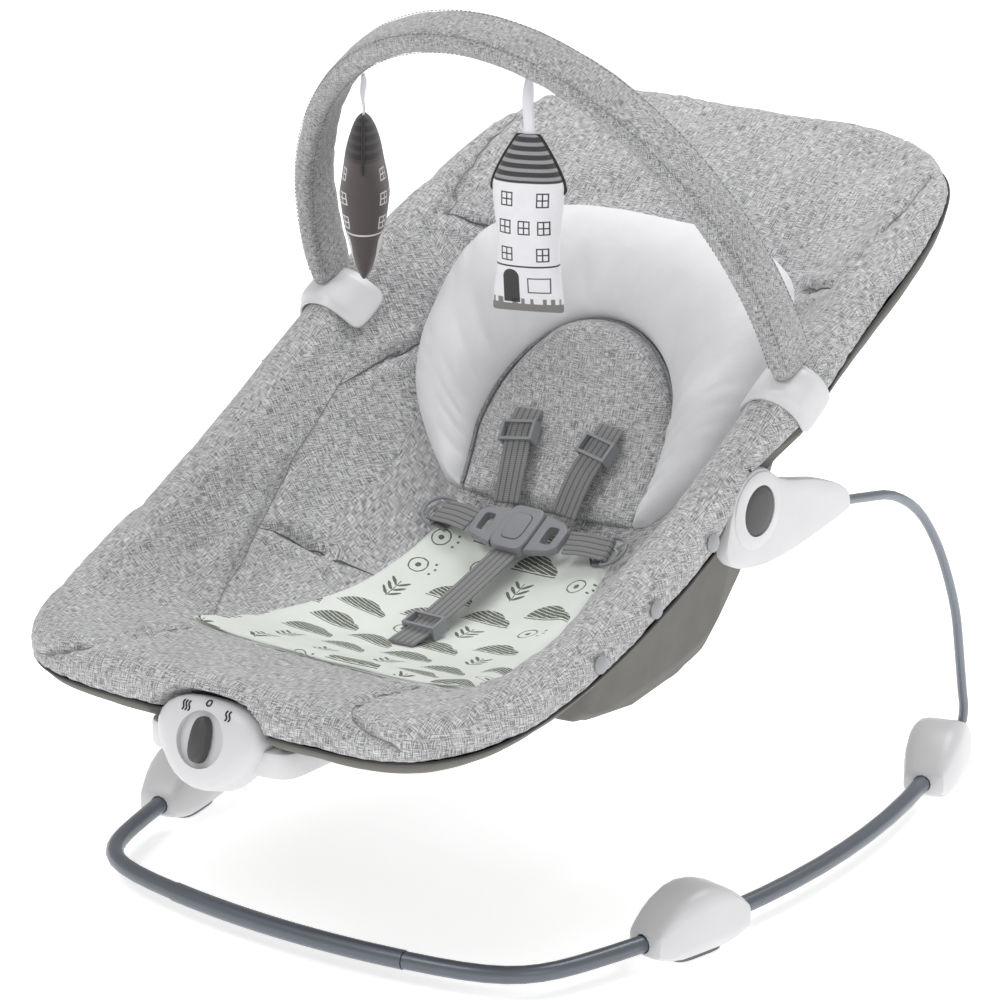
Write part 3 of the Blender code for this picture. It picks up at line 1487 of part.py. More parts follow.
def make_tongues():
    frame = buckle_frame()
    start = BUCKLE_MIDDLE_HALF + GAP
    inner, outer = BUCKLE_HEIGHT / 2 - 0.003, BUCKLE_HEIGHT / 2 - 0.008
    outline = ((start, -inner), (BUCKLE_HALF_WIDTH - 0.006, -outer), (BUCKLE_HALF_WIDTH, -outer + 0.006),
               (BUCKLE_HALF_WIDTH, outer - 0.006), (BUCKLE_HALF_WIDTH - 0.006, outer), (start, inner))
    tongue = slab("buckle_tongue", outline, -TONGUE_THICKNESS / 2, TONGUE_THICKNESS / 2, frame, 0.0016, 2)
    middle = (start + BUCKLE_HALF_WIDTH) / 2 + 0.001
    slot = [(x + middle, y) for x, y in rounded_rectangle(TONGUE_SLOT[0] / 2, TONGUE_SLOT[1] / 2, 5, 16)]
    cut(tongue, slab("tongue_slot", slot, -0.02, 0.02, frame))
    pair(tongue, "buckle_tongue", "clip", "recline_axis")


def shoulder_path(seat):
    """From the slot in the back pad down to the top edge of the buckle."""
    frame = buckle_frame()
    on_pad = pad_thickness(SHOULDER_SLOT) + REST_GAP + WEBBING_THICKNESS / 2 + 2 * GAP
    slot, _ = seat.up_back(SHOULDER_X, SHOULDER_SLOT, on_pad)
    below, _ = seat.up_back(SHOULDER_X - 0.002, SHOULDER_SLOT - 0.022, on_pad + 0.005)
    low, _ = seat.up_back(SHOULDER_X - 0.008, SHOULDER_SLOT - 0.050, on_pad + 0.006)
    end = frame @ Vector((0.029, BUCKLE_HEIGHT / 2 + 0.0014, 0.001))
    return evenly(smooth_path([slot, below, low, end], 6), 12)


def make_shoulder_straps(seat):
    path = shoulder_path(seat)
    strap = swept_section("shoulder_strap", path, [X_AXIS] * len(path), webbing_section())
    pair(strap, "shoulder_strap", "webbing", "recline_axis")


def strap_frame(path, index):
    """Local X across the strap, Y along it and Z out of it."""
    along = (path[index + 1] - path[index - 1]).normalized()
    across = (X_AXIS - along * X_AXIS.dot(along)).normalized()
    up = across.cross(along)
    return frame_at(path[index], across, up if up.z > 0 else -up)


def make_slider(name, frame):
    """An adjuster: two bars over the webbing, one under it and a cheek at each side."""
    reach = WEBBING_WIDTH / 2 + 2 * GAP
    over = WEBBING_THICKNESS / 2 + SLIDER_SLACK + SLIDER_BAR / 2
    width = 2 * reach + SLIDER_BAR
    body = block(name, (width, SLIDER_BAR * 1.4, SLIDER_BAR), frame @ Matrix.Translation((0, 0, -over)))
    extras = []
    for side in (1, -1):
        place = Matrix.Translation((side * (reach + SLIDER_BAR / 2), 0, 0))
        size = (SLIDER_BAR, SLIDER_LENGTH, 2 * over + SLIDER_BAR * 1.2)
        extras.append(block(f"{name}_cheek_{side}", size, frame @ place))
        place = Matrix.Translation((0, side * (SLIDER_LENGTH / 2 - SLIDER_BAR * 0.6), over))
        extras.append(block(f"{name}_bar_{side}", (width, SLIDER_BAR, SLIDER_BAR), frame @ place))
    return join(body, *extras)


def make_shoulder_sliders(seat):
    frame = strap_frame(shoulder_path(seat), 3)
    pair(make_slider("shoulder_slider", frame), "shoulder_slider", "clip", "recline_axis")


def crotch_path(seat):
    frame = buckle_frame()
    start = frame @ Vector((0, -BUCKLE_HEIGHT / 2 - 0.0009, -0.001))
    on_panel = PANEL_THICKNESS * 1.15 + REST_GAP + WEBBING_THICKNESS / 2 + GAP
    lifted, _ = seat.on(0, CROTCH_SLIDER_Y, on_panel + 0.0055)
    near, _ = seat.on(0, CROTCH_SLIDER_Y - 0.014, on_panel + 0.003)
    end, _ = seat.on(0, CROTCH_SLOT_Y - 0.004, on_panel)
    middle = start.lerp(lifted, 0.5) + Vector((0, 0, -0.001))
    return evenly(smooth_path([start, middle, lifted, near, end], 6), 14)


def make_crotch_strap(seat):
    path = crotch_path(seat)
    strap = swept_section("crotch_strap", path, [X_AXIS] * len(path), webbing_section())
    finish(strap, "crotch_strap", "webbing", "recline_axis")
    slider = make_slider("crotch_slider", strap_frame(path, 10))
    finish(slider, "crotch_slider", "clip", "recline_axis")


def ring_frame(seat):
    """The D-ring lies over the cover in local XY, its straight bar along Y and its bow outward."""
    place, up = seat.on(*RING_PLACE, RING_LIFT)
    return frame_at(place, (1, 0.1, 0.25), up)


def make_rings(seat):
    frame = ring_frame(seat)
    bow = [(RING_RADIUS * cos(radians(a)), RING_RADIUS * sin(radians(a))) for a in between(-90, 90, 11)]
    points = [frame @ Vector((x, y, 0)) for x, y in [*bow, (-0.002, RING_RADIUS), (-0.002, -RING_RADIUS)]]
    ring = as_mesh(swept_tube("d_ring", points, RING_WIRE, 2, cyclic=True))
    pair(ring, "d_ring", "clip", "recline_axis")


def make_waist_straps(seat):
    """From the buckle's wing to the D-ring, where the webbing turns back round the straight bar."""
    buckle, ring = buckle_frame(), ring_frame(seat)
    thickness = WEBBING_THICKNESS * 0.6
    round_bar = RING_WIRE / 2 + thickness / 2 + 2 * GAP
    start = buckle @ Vector((BUCKLE_HALF_WIDTH + 0.0030, 0, 0))
    loop = [ring @ Vector((-0.002 + round_bar * cos(radians(a)), 0, round_bar * sin(radians(a))))
            for a in between(100, -100, 7)]
    tail = ring @ Vector((-0.014, 0, -round_bar - 0.0004))
    lead = start.lerp(loop[0], 0.5) + Vector((0, 0, 0.001))
    path = [start, lead, *loop, tail]
    across = (ring.to_3x3() @ Y_AXIS)
    sides = [(buckle.to_3x3() @ Y_AXIS), (across + buckle.to_3x3() @ Y_AXIS)] + [across] * (len(loop) + 1)
    strap = swept_section("waist_strap", path, sides, webbing_section(thickness))
    pair(strap, "waist_strap", "webbing", "recline_axis")


# Vibration unit

def unit_frame():
    tilt = radians(UNIT_TILT)
    return frame_at(UNIT_CENTRE, X_AXIS, (0, -cos(tilt), sin(tilt)))


def unit_outline(scale=1.0, count=30):
    """A rounded triangle that points down."""
    out = []
    for i in range(count):
        angle = 2 * pi * i / count
        bulge = scale * (1 + UNIT_CORNERS * sin(3 * angle))
        out.append((UNIT_WIDTH / 2 * cos(angle) * bulge, UNIT_HEIGHT / 2 * sin(angle) * bulge))
    return out


def unit_shell():
    """The unit's rounded face on its straight-sided body."""
    frame = unit_frame()
    levels = ((0.94, -UNIT_DEPTH), (1.0, -UNIT_DEPTH + 0.003), (1.0, -0.001), (0.975, 0.0035),
              (0.90, 0.0070), (0.76, 0.0095), (0.52, 0.0112), (0.25, 0.0118))
    rings = [[frame @ Vector((x, y, z)) for x, y in unit_outline(scale)] for scale, z in levels]
    return loft("vibration_housing", rings)


def tray_frame():
    """The battery tray lies level under the foot end."""
    y = UNIT_CENTRE[1] + TRAY_LENGTH / 2 + 0.004
    return Matrix.Translation((0, y, 0))


def make_vibration_unit():
    frame = unit_frame()
    body = unit_shell()
    outline = rounded_rectangle(TRAY_HALF_WIDTH, TRAY_LENGTH / 2, 5, 28)
    tray = slab("unit_tray", outline, TRAY_BOTTOM_Z, TRAY_TOP_Z, tray_frame(), 0.003, 2)
    join(body, tray)
    dial = slab("unit_dial", rounded_rectangle(DIAL_RADIUS, DIAL_RADIUS, 2, 32), DIAL_FLOOR, 0.03, frame)
    shaft = disc("unit_shaft_bore", KNOB_SHAFT / 2 + GAP, DIAL_FLOOR - 0.008, DIAL_FLOOR + 0.004,
                 UNIT_CENTRE, frame.to_3x3() @ Z_AXIS, steps=20)
    line = [s.tube for s in rim_stations()[:6]]
    mirror = [Vector((-p.x, p.y, p.z)) for p in reversed(line[1:])]
    groove = swept_tube("unit_groove", mirror + line, RIM_TUBE_DIAMETER + 4 * GAP, 4)
    room = rounded_rectangle(TRAY_HALF_WIDTH - 0.012, TRAY_LENGTH / 2 - 0.014, 6, 24)
    door_room = slab("unit_door_room", room, TRAY_BOTTOM_Z - 0.01, TRAY_BOTTOM_Z + DOOR_THICKNESS + GAP,
                     tray_frame())
    cut(body, dial, shaft, groove, door_room)
    finish(body, "vibration_housing", "shell", "recline_axis")
    door = rounded_rectangle(TRAY_HALF_WIDTH - 0.012 - GAP, TRAY_LENGTH / 2 - 0.014 - GAP, 6, 24)
    cover = slab("battery_door", door, TRAY_BOTTOM_Z, TRAY_BOTTOM_Z + DOOR_THICKNESS, tray_frame())
    finish(cover, "battery_door", "shell", "recline_axis")


def make_knob():
    frame = unit_frame()
    low = DIAL_FLOOR + GAP
    rings = []
    for scale, z in ((0.92, low), (1.0, low + 0.001), (0.96, low + KNOB_HEIGHT * 0.6),
                     (0.86, low + KNOB_HEIGHT * 0.9), (0.70, low + KNOB_HEIGHT)):
        ring = []
        for x, y in rounded_rectangle(KNOB_WIDTH / 2 * scale, KNOB_LENGTH / 2 * (0.5 + 0.5 * scale), 2.6, 20):
            narrow = 1 - 0.18 * max(y, 0) / (KNOB_LENGTH / 2)
            ring.append(frame @ Vector((x * narrow, y, z)))
        rings.append(ring)
    knob = loft("vibration_knob", rings)
    shaft = disc("knob_shaft", KNOB_SHAFT / 2, DIAL_FLOOR - 0.007, low + 0.003, UNIT_CENTRE,
                 frame.to_3x3() @ Z_AXIS, steps=20)
    join(knob, shaft)
    finish(knob, "vibration_knob", "button", "knob_axis")


# Assembly

def add_axes():
    origin = bpy.data.objects.new("bouncer_origin", None)
    bpy.context.scene.collection.objects.link(origin)
    origin.location = (0, ORIGIN_Y, 0)
    joint_axis("bounce_axis", (0, rod_exit().y, TUBE_Z), "bouncer_origin")
    joint_axis("recline_axis", (0, HUB_Y, HUB_Z), "bounce_axis")
    for side, sign in (("right", 1), ("left", -1)):
        x = sign * (ARM_INNER_X + ARM_THICKNESS)
        joint_axis(f"hub_button_{side}_axis", (x, HUB_Y, HUB_Z), "bounce_axis")
    joint_axis("toy_bar_axis", (0, *BAR_FOOT), "recline_axis")
    for side, x, *_ in TOYS:
        joint_axis(f"toy_{side}_axis", toy_top(x), "toy_bar_axis")
    joint_axis("knob_axis", UNIT_CENTRE, "recline_axis")
    joint_axis("buckle_button_axis", BUCKLE_CENTRE, "recline_axis")


def build():
    add_axes()
    make_front_bar()
    make_side_tubes()
    make_feet()
    make_rods()
    make_arms()
    make_hub_buttons()
    make_pivot_pins()
    make_hub_brackets()
    make_rim_tube()
    cover = make_cover()
    make_under_cover()
    make_seat_board()
    seat = Seat(cover)
    make_panel(seat)
    make_back_pad(seat)
    make_head_cushion(seat)
    make_studs()
    make_sleeve()
    make_core()
    make_clips()
    for toy in TOYS:
        make_toy(*toy)
    make_buckle()
    make_tongues()
    make_shoulder_straps(seat)
    make_shoulder_sliders(seat)
    make_crotch_strap(seat)
    make_rings(seat)
    make_waist_straps(seat)
    make_vibration_unit()
    make_knob()
    hang_up()


build()
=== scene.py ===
"""Looks of the baby bouncer: its covers, cushions, toy bar, toys, harness and hard parts.

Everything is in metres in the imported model's frame: +Z up, +Y toward the head end, the floor at z = 0.
"""

import json
from math import atan2, cos, pi, radians, sin, sqrt

import bmesh
import bpy
import numpy as np
from mathutils import Matrix, Vector, noise
from mathutils.bvhtree import BVHTree

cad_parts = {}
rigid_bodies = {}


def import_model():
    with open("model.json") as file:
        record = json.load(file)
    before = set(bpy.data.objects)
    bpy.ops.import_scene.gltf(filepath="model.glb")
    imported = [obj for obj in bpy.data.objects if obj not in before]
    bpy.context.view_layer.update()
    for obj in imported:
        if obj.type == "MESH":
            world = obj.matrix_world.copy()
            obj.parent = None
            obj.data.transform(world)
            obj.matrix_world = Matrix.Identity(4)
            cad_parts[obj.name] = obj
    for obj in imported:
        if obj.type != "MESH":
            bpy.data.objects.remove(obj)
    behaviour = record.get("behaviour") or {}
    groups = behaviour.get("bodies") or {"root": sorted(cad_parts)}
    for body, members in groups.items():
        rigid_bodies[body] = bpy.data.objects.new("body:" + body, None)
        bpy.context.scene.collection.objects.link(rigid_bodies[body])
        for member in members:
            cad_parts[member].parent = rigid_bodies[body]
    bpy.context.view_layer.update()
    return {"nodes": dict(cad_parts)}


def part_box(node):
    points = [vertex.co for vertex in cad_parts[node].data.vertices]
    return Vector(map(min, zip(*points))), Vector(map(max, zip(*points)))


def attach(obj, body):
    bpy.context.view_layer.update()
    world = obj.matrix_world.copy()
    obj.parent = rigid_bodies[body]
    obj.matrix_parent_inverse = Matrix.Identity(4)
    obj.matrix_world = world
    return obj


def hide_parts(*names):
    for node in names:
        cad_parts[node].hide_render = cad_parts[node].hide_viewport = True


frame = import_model()
NODES = frame["nodes"]

# Camera and stage
CAMERA_AZIMUTH = 36.41
CAMERA_ELEVATION = 19.05
CAMERA_DISTANCE = 4.379
CAMERA_HEIGHT = 0.25
CAMERA_LENS = 192.3
CAMERA_SHIFT = (-0.022, 0.047)
FLOOR_SIZE = 40.0
FLOOR_Z = -0.0005
FLOOR_GLOW = 0.56
WORLD_LIGHT = 0.50
LIGHT_TARGET = (0, 0, 0.3)
# Each light's name, place, width and power
LIGHTS = (("key", (-0.8, -2.0, 2.9), 1.4, 25),
          ("fill", (2.6, -1.2, 1.6), 2.0, 9.5),
          ("top", (0.3, 1.3, 2.8), 1.8, 40))

# The rim and its roll. The seat is measured from a datum this far behind the middle of the object
DATUM_Y = 0.0319
RIM_HALF_WIDTH = 0.2255
RIM_ENDS_Y = (-0.383, 0.333)
RIM_SQUARENESS = 7.0
RIM_CORNER_WEIGHT = 0.07
RIM_NARROWING = (0.10, 0.20)
RIM_SIDE_PROFILE = ((-0.385, 0.230), (-0.30, 0.246), (-0.20, 0.276), (-0.10, 0.319),
                    (0.0, 0.375), (0.10, 0.431), (0.20, 0.474), (0.30, 0.515), (0.335, 0.527))
RIM_TUBE_OFFSET = Vector((-0.006, 0.0, 0.006))
ROLL_RADIUS = 0.024
ROLL_END_ANGLES = ((-0.385, 108), (-0.33, 118), (-0.20, 148), (0.20, 148), (0.29, 125), (0.335, 108))
# Where the marl ends and the piping is sewn, and how its edge gathers and keeps off the hub and the studs
PIPING_ANGLES = ((-0.40, -20), (-0.34, -22), (-0.20, -24), (0.03, -22), (0.11, 0), (0.34, 8))
PIPING_RADIUS = 0.0011
EDGE_TUCK = 0.0014
EDGE_STILL = 0.004
GATHER_PITCH = 0.0135
GATHER_RELIEF = ((0.0011, 0.006, 0.007),)
STUD_DIMPLE = (0.0030, 0.0095)
HUB_SMOOTH = (0.055, 0.03)

# The bowl and the padded cover
BOWL_PROFILE = ((-0.37, 0.251), (-0.30, 0.241), (-0.26, 0.228), (-0.20, 0.211), (-0.14, 0.205),
                (-0.08, 0.209), (-0.03, 0.224), (0.01, 0.247), (0.04, 0.272), (0.07, 0.308),
                (0.10, 0.352), (0.14, 0.410), (0.18, 0.456), (0.24, 0.505), (0.31, 0.542))
SPINE_ENDS_Y = (-0.275, 0.215)
BOWL_STEEPNESS = 3.3
BOWL_SPREAD = 1.15
INSIDE_ANGLE = 165
INSIDE_RADIUS = 0.0125
INSIDE_DEPTH = 0.012
COVER_THICKNESS = 0.013

# The under cloth and its pouch
UNDER_THICKNESS = 0.0009
UNDER_CLEARANCE = 0.0026
UNDER_END_ANGLE = -132
POUCH_FLOOR_Z = 0.152
POUCH_Y = -0.028
POUCH_FLAT = 0.050
POUCH_RISE = 8.0
POUCH_SHOULDER = 0.21
POUCH_START = 0.08
POUCH_TAKE_IN = 0.06
UNDER_SHARES = (0.16, 0.24, 0.31, 0.40, 0.50, 0.60, 0.70, 0.80, 0.90, 1.0)

# The room that the hubs and the vibration unit need, as their sizes and how softly the covers give way
HUB = (-0.015, 0.334)
HUB_INNER_X = 0.2278
HUB_ROOM = 0.0385
HUB_EASE = 0.002
HUB_CUT = (0.0042, 0.004)
ARM_ROOM_END = (0.080, -0.016)
ARM_ROOM_DROP = 0.014
ARM_ROOM_HALVES = (0.036, 0.012)
ARM_ROOM_LIMIT = 1.4
UNIT_CENTRE = (0.0, -0.404, 0.206)
UNIT_TILT = 19
UNIT_SIZE = (0.098, 0.072, 0.024)
UNIT_CORNERS = 0.08
UNIT_ROOM = (1.14, 0.10)
UNIT_ROOM_BEHIND = -0.045
UNIT_GAP = 0.0012

# The printed panel, the back pad and the head cushion
PANEL_ENDS_Y = (-0.269, 0.024)
PANEL_HALF_WIDTHS = (0.143, 0.086)
PANEL_WAVE = 0.010
PANEL_THICKNESS = 0.0045
PANEL_ROWS = 52
PANEL_COLUMNS = 45
CROOK_Y = 0.036
PADS_HALF_WIDTH = 0.164
PADS_END_Y = 0.216
COVERED_FADE = 0.012
PAD_HALF_WIDTH = 0.096
PAD_LOW_HALF_WIDTH = 0.086
PAD_SHOULDER = 0.060
PAD_TOP = 0.170
PAD_THICKNESS = (0.011, 0.036)
PAD_COLUMNS = 37
HEAD_HALF_WIDTH = 0.167
HEAD_SHOULDER = 0.146
HEAD_TOP = 0.268
HEAD_CURVE = 0.62
HEAD_TIP_HALF_WIDTH = 0.096
HEAD_THICKNESS = 0.042
HEAD_RINGS = 141
HEAD_COLUMNS = 29

# The toy bar, its sleeve and its clips
BAR_LEAN = 114
BAR_FOOT = (0.052, 0.421)
BAR_HALF_WIDTH = 0.236
BAR_TUCK = 0.0208
BAR_HEIGHT = 0.299
SLEEVE_WIDTH = 0.043
SLEEVE_THICKNESS = 0.021
SLEEVE_END = 0.0145
SLEEVE_SEAM_ACROSS = 0.0165
SLEEVE_SEAM_OUT = 0.0086
SLEEVE_RINGS = 176
SLEEVE_STEP = 0.0047
CLIP_HALF_LENGTH = 0.022
CLIP_WALL = 0.003
CLIP_CORNER = 0.0105
CLIP_BOSS = (0.0125, 0.0215)
CLIP_SQUARENESS = 0.30
CLIP_EDGE = (0.35, 0.0025)
# The clip's outer and inner profiles seen along the rim, as (out, up) from the roll's middle, paired
CLIP_PROFILES = (
    ((0.0279, -0.0100), (0.0249, -0.0100)), ((0.0281, 0.0000), (0.0249, 0.0000)),
    ((0.0277, 0.0110), (0.0230, 0.0095)), ((0.0250, 0.0215), (0.0176, 0.0176)),
    ((0.0170, 0.0290), (0.0095, 0.0230)), ((0.0040, 0.0310), (0.0000, 0.0249)),
    ((-0.0095, 0.0290), (-0.0095, 0.0230)), ((-0.0205, 0.0215), (-0.0168, 0.0184)),
    ((-0.0290, 0.0105), (-0.0270, 0.0083)), ((-0.0359, 0.0012), (-0.0334, -0.0012)),
)

# Each toy's name, place along the bar, height, width, thickness, turn about its ribbon and ribbon length
TOYS = (("dark", -0.125, 0.129, 0.064, 0.041, 126, 0.033),
        ("white", 0.052, 0.144, 0.058, 0.034, 22, 0.056))
TOY_GAP = 0.0004
ROOF_START = 0.72
ROOF_CORD_RADIUS = 0.0013
EAVE_CURL = 0.0034
RIBBON_HALF_WIDTH = 0.0045
RIBBON_HALF_THICKNESS = 0.0007
RIBBON_RINGS = 22
RIBBON_SECTION = ((1, 1), (0.4, 1.5), (-0.4, 1.5), (-1, 1), (-1, -1), (-0.4, -1.5), (0.4, -1.5), (1, -1))
RIBBON_DROP = 0.0008
PRINT_CELL = (0.050, 0.036)
PRINT_EDGE = 0.0002

# The harness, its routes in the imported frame
SHOULDER_PATH = ((0.0419, 0.0995, 0.3435), (0.0407, 0.0878, 0.3335), (0.0379, 0.0773, 0.3226),
                 (0.0344, 0.0678, 0.3110), (0.0319, 0.0597, 0.2981), (0.0300, 0.0526, 0.2846),
                 (0.0290, 0.0490, 0.2778))
CROTCH_PATH = ((0.0, 0.0073, 0.2514), (-0.0001, -0.0244, 0.2413), (-0.0002, -0.0561, 0.2317),
               (-0.0003, -0.0881, 0.2227), (-0.0003, -0.0988, 0.2198), (-0.0004, -0.1095, 0.2171),
               (-0.0004, -0.1205, 0.2158), (-0.0003, -0.1314, 0.2141))
WEBBING_WIDTH = 0.025
WEBBING_THICKNESS = 0.0028
WEBBING_RIB = 0.0056
WAIST_PATH = ((0.0480, 0.0279, 0.2645), (0.0652, 0.0303, 0.2657), (0.0824, 0.0326, 0.2649),
              (0.0842, 0.0329, 0.2652), (0.0858, 0.0336, 0.2645), (0.0866, 0.0346, 0.2631),
              (0.0864, 0.0354, 0.2615), (0.0852, 0.0358, 0.2601), (0.0834, 0.0358, 0.2595),
              (0.0725, 0.0349, 0.2563))
WAIST_SIDES = ((0.0, 0.866, 0.5), (-0.2022, 0.8625, 0.4638))
WAIST_TURN = 22
STRAP_RINGS = 60
SHOULDER_RINGS = 40

# Sewn lines and folds on the cover's right half, from the seat's datum. The left half mirrors them
SEAMS = (
    ((0.112, -0.286, 0.242), (0.115, -0.348, 0.250), (0.130, -0.391, 0.251), (0.181, -0.398, 0.234)),
    ((0.204, 0.292, 0.532), (0.207, 0.238, 0.515), (0.202, 0.195, 0.492), (0.1945, 0.1586, 0.468)),
    ((0.190, 0.010, 0.362), (0.184, -0.060, 0.314), (0.177, -0.109, 0.282), (0.163, -0.165, 0.251),
     (0.133, -0.240, 0.231)),
)
FOLDS = (
    ((0.1742, -0.1318, 0.2717), (0.1509, -0.1024, 0.2519), (0.1258, -0.0816, 0.2356),
     (0.0928, -0.0666, 0.2234)),
    ((0.1495, 0.1049, 0.3853), (0.167, 0.0749, 0.3746), (0.1807, 0.0377, 0.3637),
     (0.1886, -0.0025, 0.3539)),
    ((0.1945, 0.1586, 0.4682), (0.175, 0.166, 0.461), (0.1568, 0.172, 0.456)),
)
# Their relief, as waves of (height, distance from the line, width)
SEAM_RELIEF = ((-0.0050, 0.0, 0.0030), (0.0020, 0.012, 0.008))
SEAM_PUCKER = ((0.0017, 0.007, 0.006),)
FOLD_RELIEF = ((-0.0070, 0.0, 0.0034), (0.0036, 0.012, 0.008))
FOLD_STRENGTHS = (1.0, 0.8, 1.0)
FOLD_LENGTH = 0.105
SEAM_RADIUS = 0.00045
SEAM_LIFT = 0.0004
SEAM_POINTS = 70
PAD_CORD_RADIUS = 0.0013
MARK_RADIUS = 0.00075

# How finely the covers are made, and how near two points are joined
STATIONS = 240
ROLL_ROWS = 26
BOWL_ROWS = 62
INSIDE_ROWS = 4
WRAP_ROWS = 8
WELD_GAP = 2e-5
ON_MIDDLE = 1e-6

# The bevel of each hard finish, and the angle from which an edge stays sharp
HARD_EDGES = {"satin_tube": (0.0, 40), "spring_steel": (0.0, 40), "rubber_pad": (0.0004, 40),
              "white_plastic": (0.0005, 34), "grey_plastic": (0.0003, 36)}
OTHER_EDGES = (0.0003, 38)

FAR = 9.0
X_AXIS = Vector((1, 0, 0))
Z_AXIS = Vector((0, 0, 1))


# Curves and numbers

def smooth_value(points, at):
    """The value at a place of a smooth curve through (place, value) pairs, straight beyond its ends."""
    slopes = []
    for i in range(len(points)):
        before, after = points[max(i - 1, 0)], points[min(i + 1, len(points) - 1)]
        slopes.append((after[1] - before[1]) / (after[0] - before[0]))
    if at <= points[0][0]:
        return points[0][1] + slopes[0] * (at - points[0][0])
    if at >= points[-1][0]:
        return points[-1][1] + slopes[-1] * (at - points[-1][0])
    i = max(k for k in range(len(points) - 1) if points[k][0] <= at)
    (x0, y0), (x1, y1) = points[i], points[i + 1]
    span = x1 - x0
    t = (at - x0) / span
    ends = y0 * (1 + 2 * t) * (1 - t) ** 2 + y1 * t * t * (3 - 2 * t)
    return ends + span * (slopes[i] * t * (1 - t) ** 2 + slopes[i + 1] * t * t * (t - 1))


def smooth_path(points, steps):
    """A Catmull-Rom curve through the points, as a list of Vectors."""
    nodes = [Vector(p) for p in points]
    nodes = [2 * nodes[0] - nodes[1], *nodes, 2 * nodes[-1] - nodes[-2]]
    path = []
    for a, b, c, d in zip(nodes, nodes[1:], nodes[2:], nodes[3:]):
        for k in range(steps):
            t = k / steps
            path.append(0.5 * (2 * b + (c - a) * t + (2 * a - 5 * b + 4 * c - d) * t * t
                               + (3 * b - a - 3 * c + d) * t ** 3))
    path.append(nodes[-2])
    return path


def running_lengths(path):
    """How far along a polyline each of its points lies."""
    lengths = [0.0]
    for a, b in zip(path, path[1:]):
        lengths.append(lengths[-1] + (b - a).length)
    return lengths


def evenly(points, count):
    """The polyline resampled at equal steps along its length."""
    lengths = running_lengths(points)
    out = []
    k = 0
    for i in range(count):
        want = lengths[-1] * i / (count - 1)
        while k < len(lengths) - 2 and lengths[k + 1] < want:
            k += 1
        share = (want - lengths[k]) / (lengths[k + 1] - lengths[k])
        out.append(points[k].lerp(points[k + 1], share))
    return out


def between(a, b, count):
    """Numbers evenly spaced from a to b."""
    return [a + (b - a) * i / (count - 1) for i in range(count)]


def part_way(ends, share):
    """The number this share of the way from the first of a pair to the second."""
    return ends[0] + (ends[1] - ends[0]) * share


def signed_power(value, power):
    return abs(value) ** power if value >= 0 else -abs(value) ** power


def smoothstep(value):
    value = min(max(value, 0.0), 1.0)
    return value * value * (3 - 2 * value)


def eased(values, rounds):
    """A list of numbers or Vectors with each value drawn toward its neighbours."""
    for _ in range(rounds):
        inner = [(a + b * 2 + c) / 4 for a, b, c in zip(values, values[1:], values[2:])]
        values = [values[0], *inner, values[-1]]
    return values


def superellipse(half_width, half_height, squareness, count):
    """Points round a rounded rectangle, anticlockwise."""
    out = []
    for i in range(count):
        angle = 2 * pi * (i + 0.5) / count
        out.append((half_width * signed_power(cos(angle), 2 / squareness),
                    half_height * signed_power(sin(angle), 2 / squareness)))
    return out


def frame_at(centre, across, up):
    """A placing matrix: local X is across, local Z is up, and Y completes them."""
    x = Vector(across).normalized()
    z = Vector(up)
    z = (z - x * z.dot(x)).normalized()
    turn = Matrix((x, z.cross(x), z)).transposed().to_4x4()
    return Matrix.Translation(Vector(centre)) @ turn


def bumpy(point, size, seed=0.0):
    """Smooth noise from -1 to 1 whose bumps are about this size."""
    x, y, z = point
    return noise.noise(Vector((x / size + seed, y / size - seed, z / size + 2.7 * seed)))


def off_datum(points):
    """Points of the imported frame, measured from the seat's datum."""
    return [Vector((x, y - DATUM_Y, z)) for x, y, z in points]


def on_side(point, side):
    """A point of the right half, or for side -1 its mirror image in the left half."""
    return Vector((side * point.x, point.y, point.z))


def side_name(side):
    return "right" if side > 0 else "left"


def ridge(gap, middle, width):
    """1 at this distance from a line, fading to 0 on both sides over the width."""
    return np.exp(-((gap - middle) / width) ** 2)


def sewn_profile(gap, relief):
    """The relief at this distance from a sewn line, from its (height, distance, width) waves."""
    return sum(height * ridge(gap, middle, width) for height, middle, width in relief)


def near_line(points, line):
    """Each point's distance to a polyline, and how far along the line its nearest place is."""
    best = np.full(len(points), FAR)
    along = np.zeros(len(points))
    gone = 0.0
    line = [np.array(tuple(p)) for p in line]
    for a, b in zip(line, line[1:]):
        step = b - a
        length = float(np.linalg.norm(step))
        t = np.clip(((points - a) @ step) / length ** 2, 0, 1)
        gap = np.linalg.norm(points - a - t[:, None] * step, axis=1)
        closer = gap < best
        best[closer] = gap[closer]
        along[closer] = (gone + t * length)[closer]
        gone += length
    return best, along


# Mesh building

def add_piece(name, points, faces, body, uvs=None, material=None):
    """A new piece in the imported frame, from points measured from the seat's datum."""
    mesh = bpy.data.meshes.new(name)
    mesh.from_pydata([(p[0], p[1] + DATUM_Y, p[2]) for p in points], [], faces)
    if uvs is not None:
        layer = mesh.uv_layers.new(name="Cloth")
        flat = [c for face in uvs for uv in face for c in uv]
        layer.data.foreach_set("uv", flat)
    mesh.polygons.foreach_set("use_smooth", [True] * len(mesh.polygons))
    mesh.update()
    obj = bpy.data.objects.new(name, mesh)
    bpy.context.scene.collection.objects.link(obj)
    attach(obj, body)
    if material:
        mesh.materials.append(material)
    return obj


